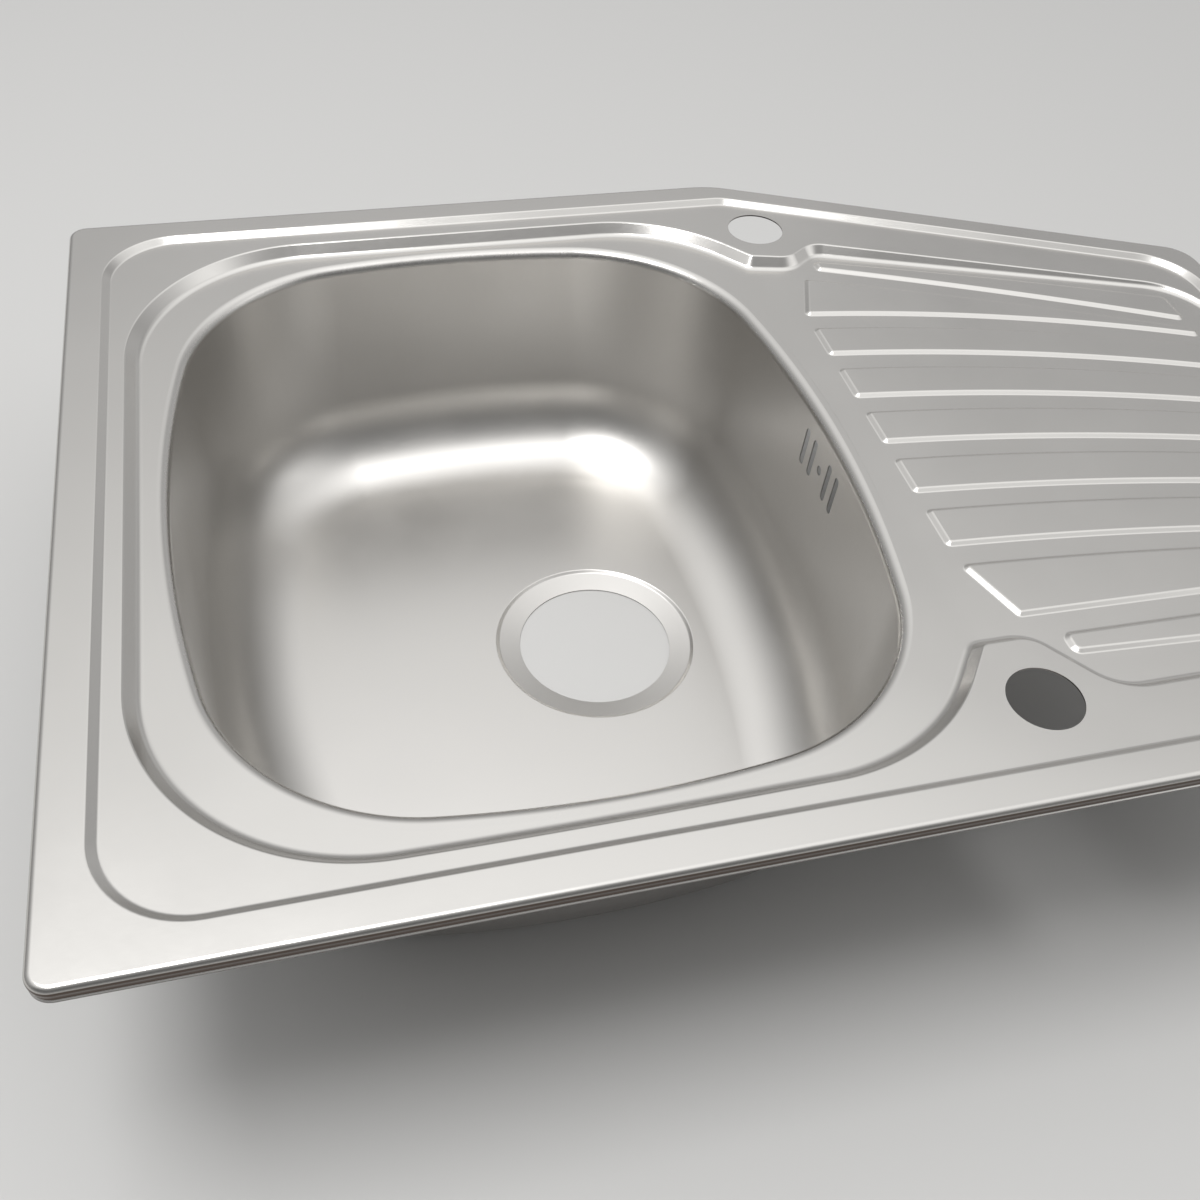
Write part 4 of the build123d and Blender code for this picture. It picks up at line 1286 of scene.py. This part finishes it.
# Patches of the room: an aim, how closely a direction points there where the patch starts and where it is
# full, and its factor. One corner behind the drainer is dim. The front right and a low wall are bright
ROOM_PATCHES = [
    ((0.58, 0.6, 0.54), (0.94, 0.99), 0.74),
    ((0.8, -0.45, 0.4), (0.86, 0.97), 1.9),
    ((0.6, 0.78, 0.12), (0.92, 0.985), 1.35),
]

# The room's dark front, which fades out towards the horizon
FRONT_AIM = (-0.15, -1, 0)
FRONT_SPAN = (0.1, 0.6)
FRONT_SHADE = 0.66
HORIZON_SPAN = (0.08, 0.34)

world = bpy.data.worlds.new("studio")
bpy.context.scene.world = world
world.use_nodes = True
sky = world.node_tree
background = sky.nodes["Background"]


def towards(aim):
    """How closely a direction of the sky points along an aim, from minus one to one."""
    look = sky.nodes.new("ShaderNodeTexCoord")
    node = sky.nodes.new("ShaderNodeVectorMath")
    node.operation = "DOT_PRODUCT"
    sky.links.new(look.outputs["Generated"], node.inputs[0])
    node.inputs[1].default_value = Vector(aim).normalized()
    return node.outputs["Value"]


tone = sky.nodes.new("ShaderNodeValToRGB")
elements = tone.color_ramp.elements
elements.remove(elements[1])
elements[0].position = CEILING_LEVELS[0][0]
for position, _ in CEILING_LEVELS[1:]:
    elements.new(position)
for element, (_, level) in zip(elements, CEILING_LEVELS):
    grey = level / SKY_STRENGTH
    element.color = (grey, grey, grey, 1)
sky.links.new(towards(CEILING_AIM), tone.inputs["Fac"])
sky.links.new(tone.outputs["Color"], background.inputs["Color"])
above = eased(sky, towards((0, 0, 1)), *HORIZON_SPAN, 0, 1)
shade = eased(sky, towards(FRONT_AIM), *FRONT_SPAN, 0, FRONT_SHADE)
front = number(sky, "SUBTRACT", 1, number(sky, "MULTIPLY", above, shade))
strength = number(sky, "MULTIPLY", front, SKY_STRENGTH)
for aim, patch_span, factor in ROOM_PATCHES:
    patch = eased(sky, towards(aim), *patch_span, 1, factor)
    strength = number(sky, "MULTIPLY", patch, strength)
sky.links.new(strength, background.inputs["Strength"])

# A broad soft lamp overhead, aimed at the sink
LAMP_PLACE = (-0.6, -0.15, 1.9)
LAMP_LENGTH = 1.1
LAMP_WIDTH = 0.8
LAMP_POWER = 21
lamp_data = bpy.data.lights.new("ceiling_lamp", "AREA")
lamp_data.shape = "RECTANGLE"
lamp_data.size = LAMP_LENGTH
lamp_data.size_y = LAMP_WIDTH
lamp_data.energy = LAMP_POWER
lamp = new_object("ceiling_lamp", lamp_data)
lamp.location = LAMP_PLACE
lamp.rotation_euler = (-lamp.location).to_track_quat("-Z", "Y").to_euler()

# Camera fitted to the photograph's frame of 1200 by 1200 pixels
FOCAL_PIXELS = 1268.03
FRAME_PIXELS = 1200
SENSOR = 36.0
NEAREST = 0.01
CAMERA_PLACE = (-0.227585, -0.483065, 0.421882)
CAMERA_RIGHT = (0.968372, -0.241472, 0.062828)
CAMERA_FORWARD = (0.211073, 0.658512, -0.722364)
camera_data = bpy.data.cameras.new("camera")
camera_data.sensor_width = SENSOR
camera_data.sensor_fit = "HORIZONTAL"
camera_data.lens = SENSOR * FOCAL_PIXELS / FRAME_PIXELS
camera_data.clip_start = NEAREST
camera = new_object("camera", camera_data)
up = np.cross(CAMERA_RIGHT, CAMERA_FORWARD)
turn = Matrix([[CAMERA_RIGHT[i], up[i], -CAMERA_FORWARD[i]] for i in range(3)]).to_4x4()
turn.translation = CAMERA_PLACE
camera.matrix_world = turn
bpy.context.scene.camera = camera
bpy.context.scene.view_settings.view_transform = "Standard"
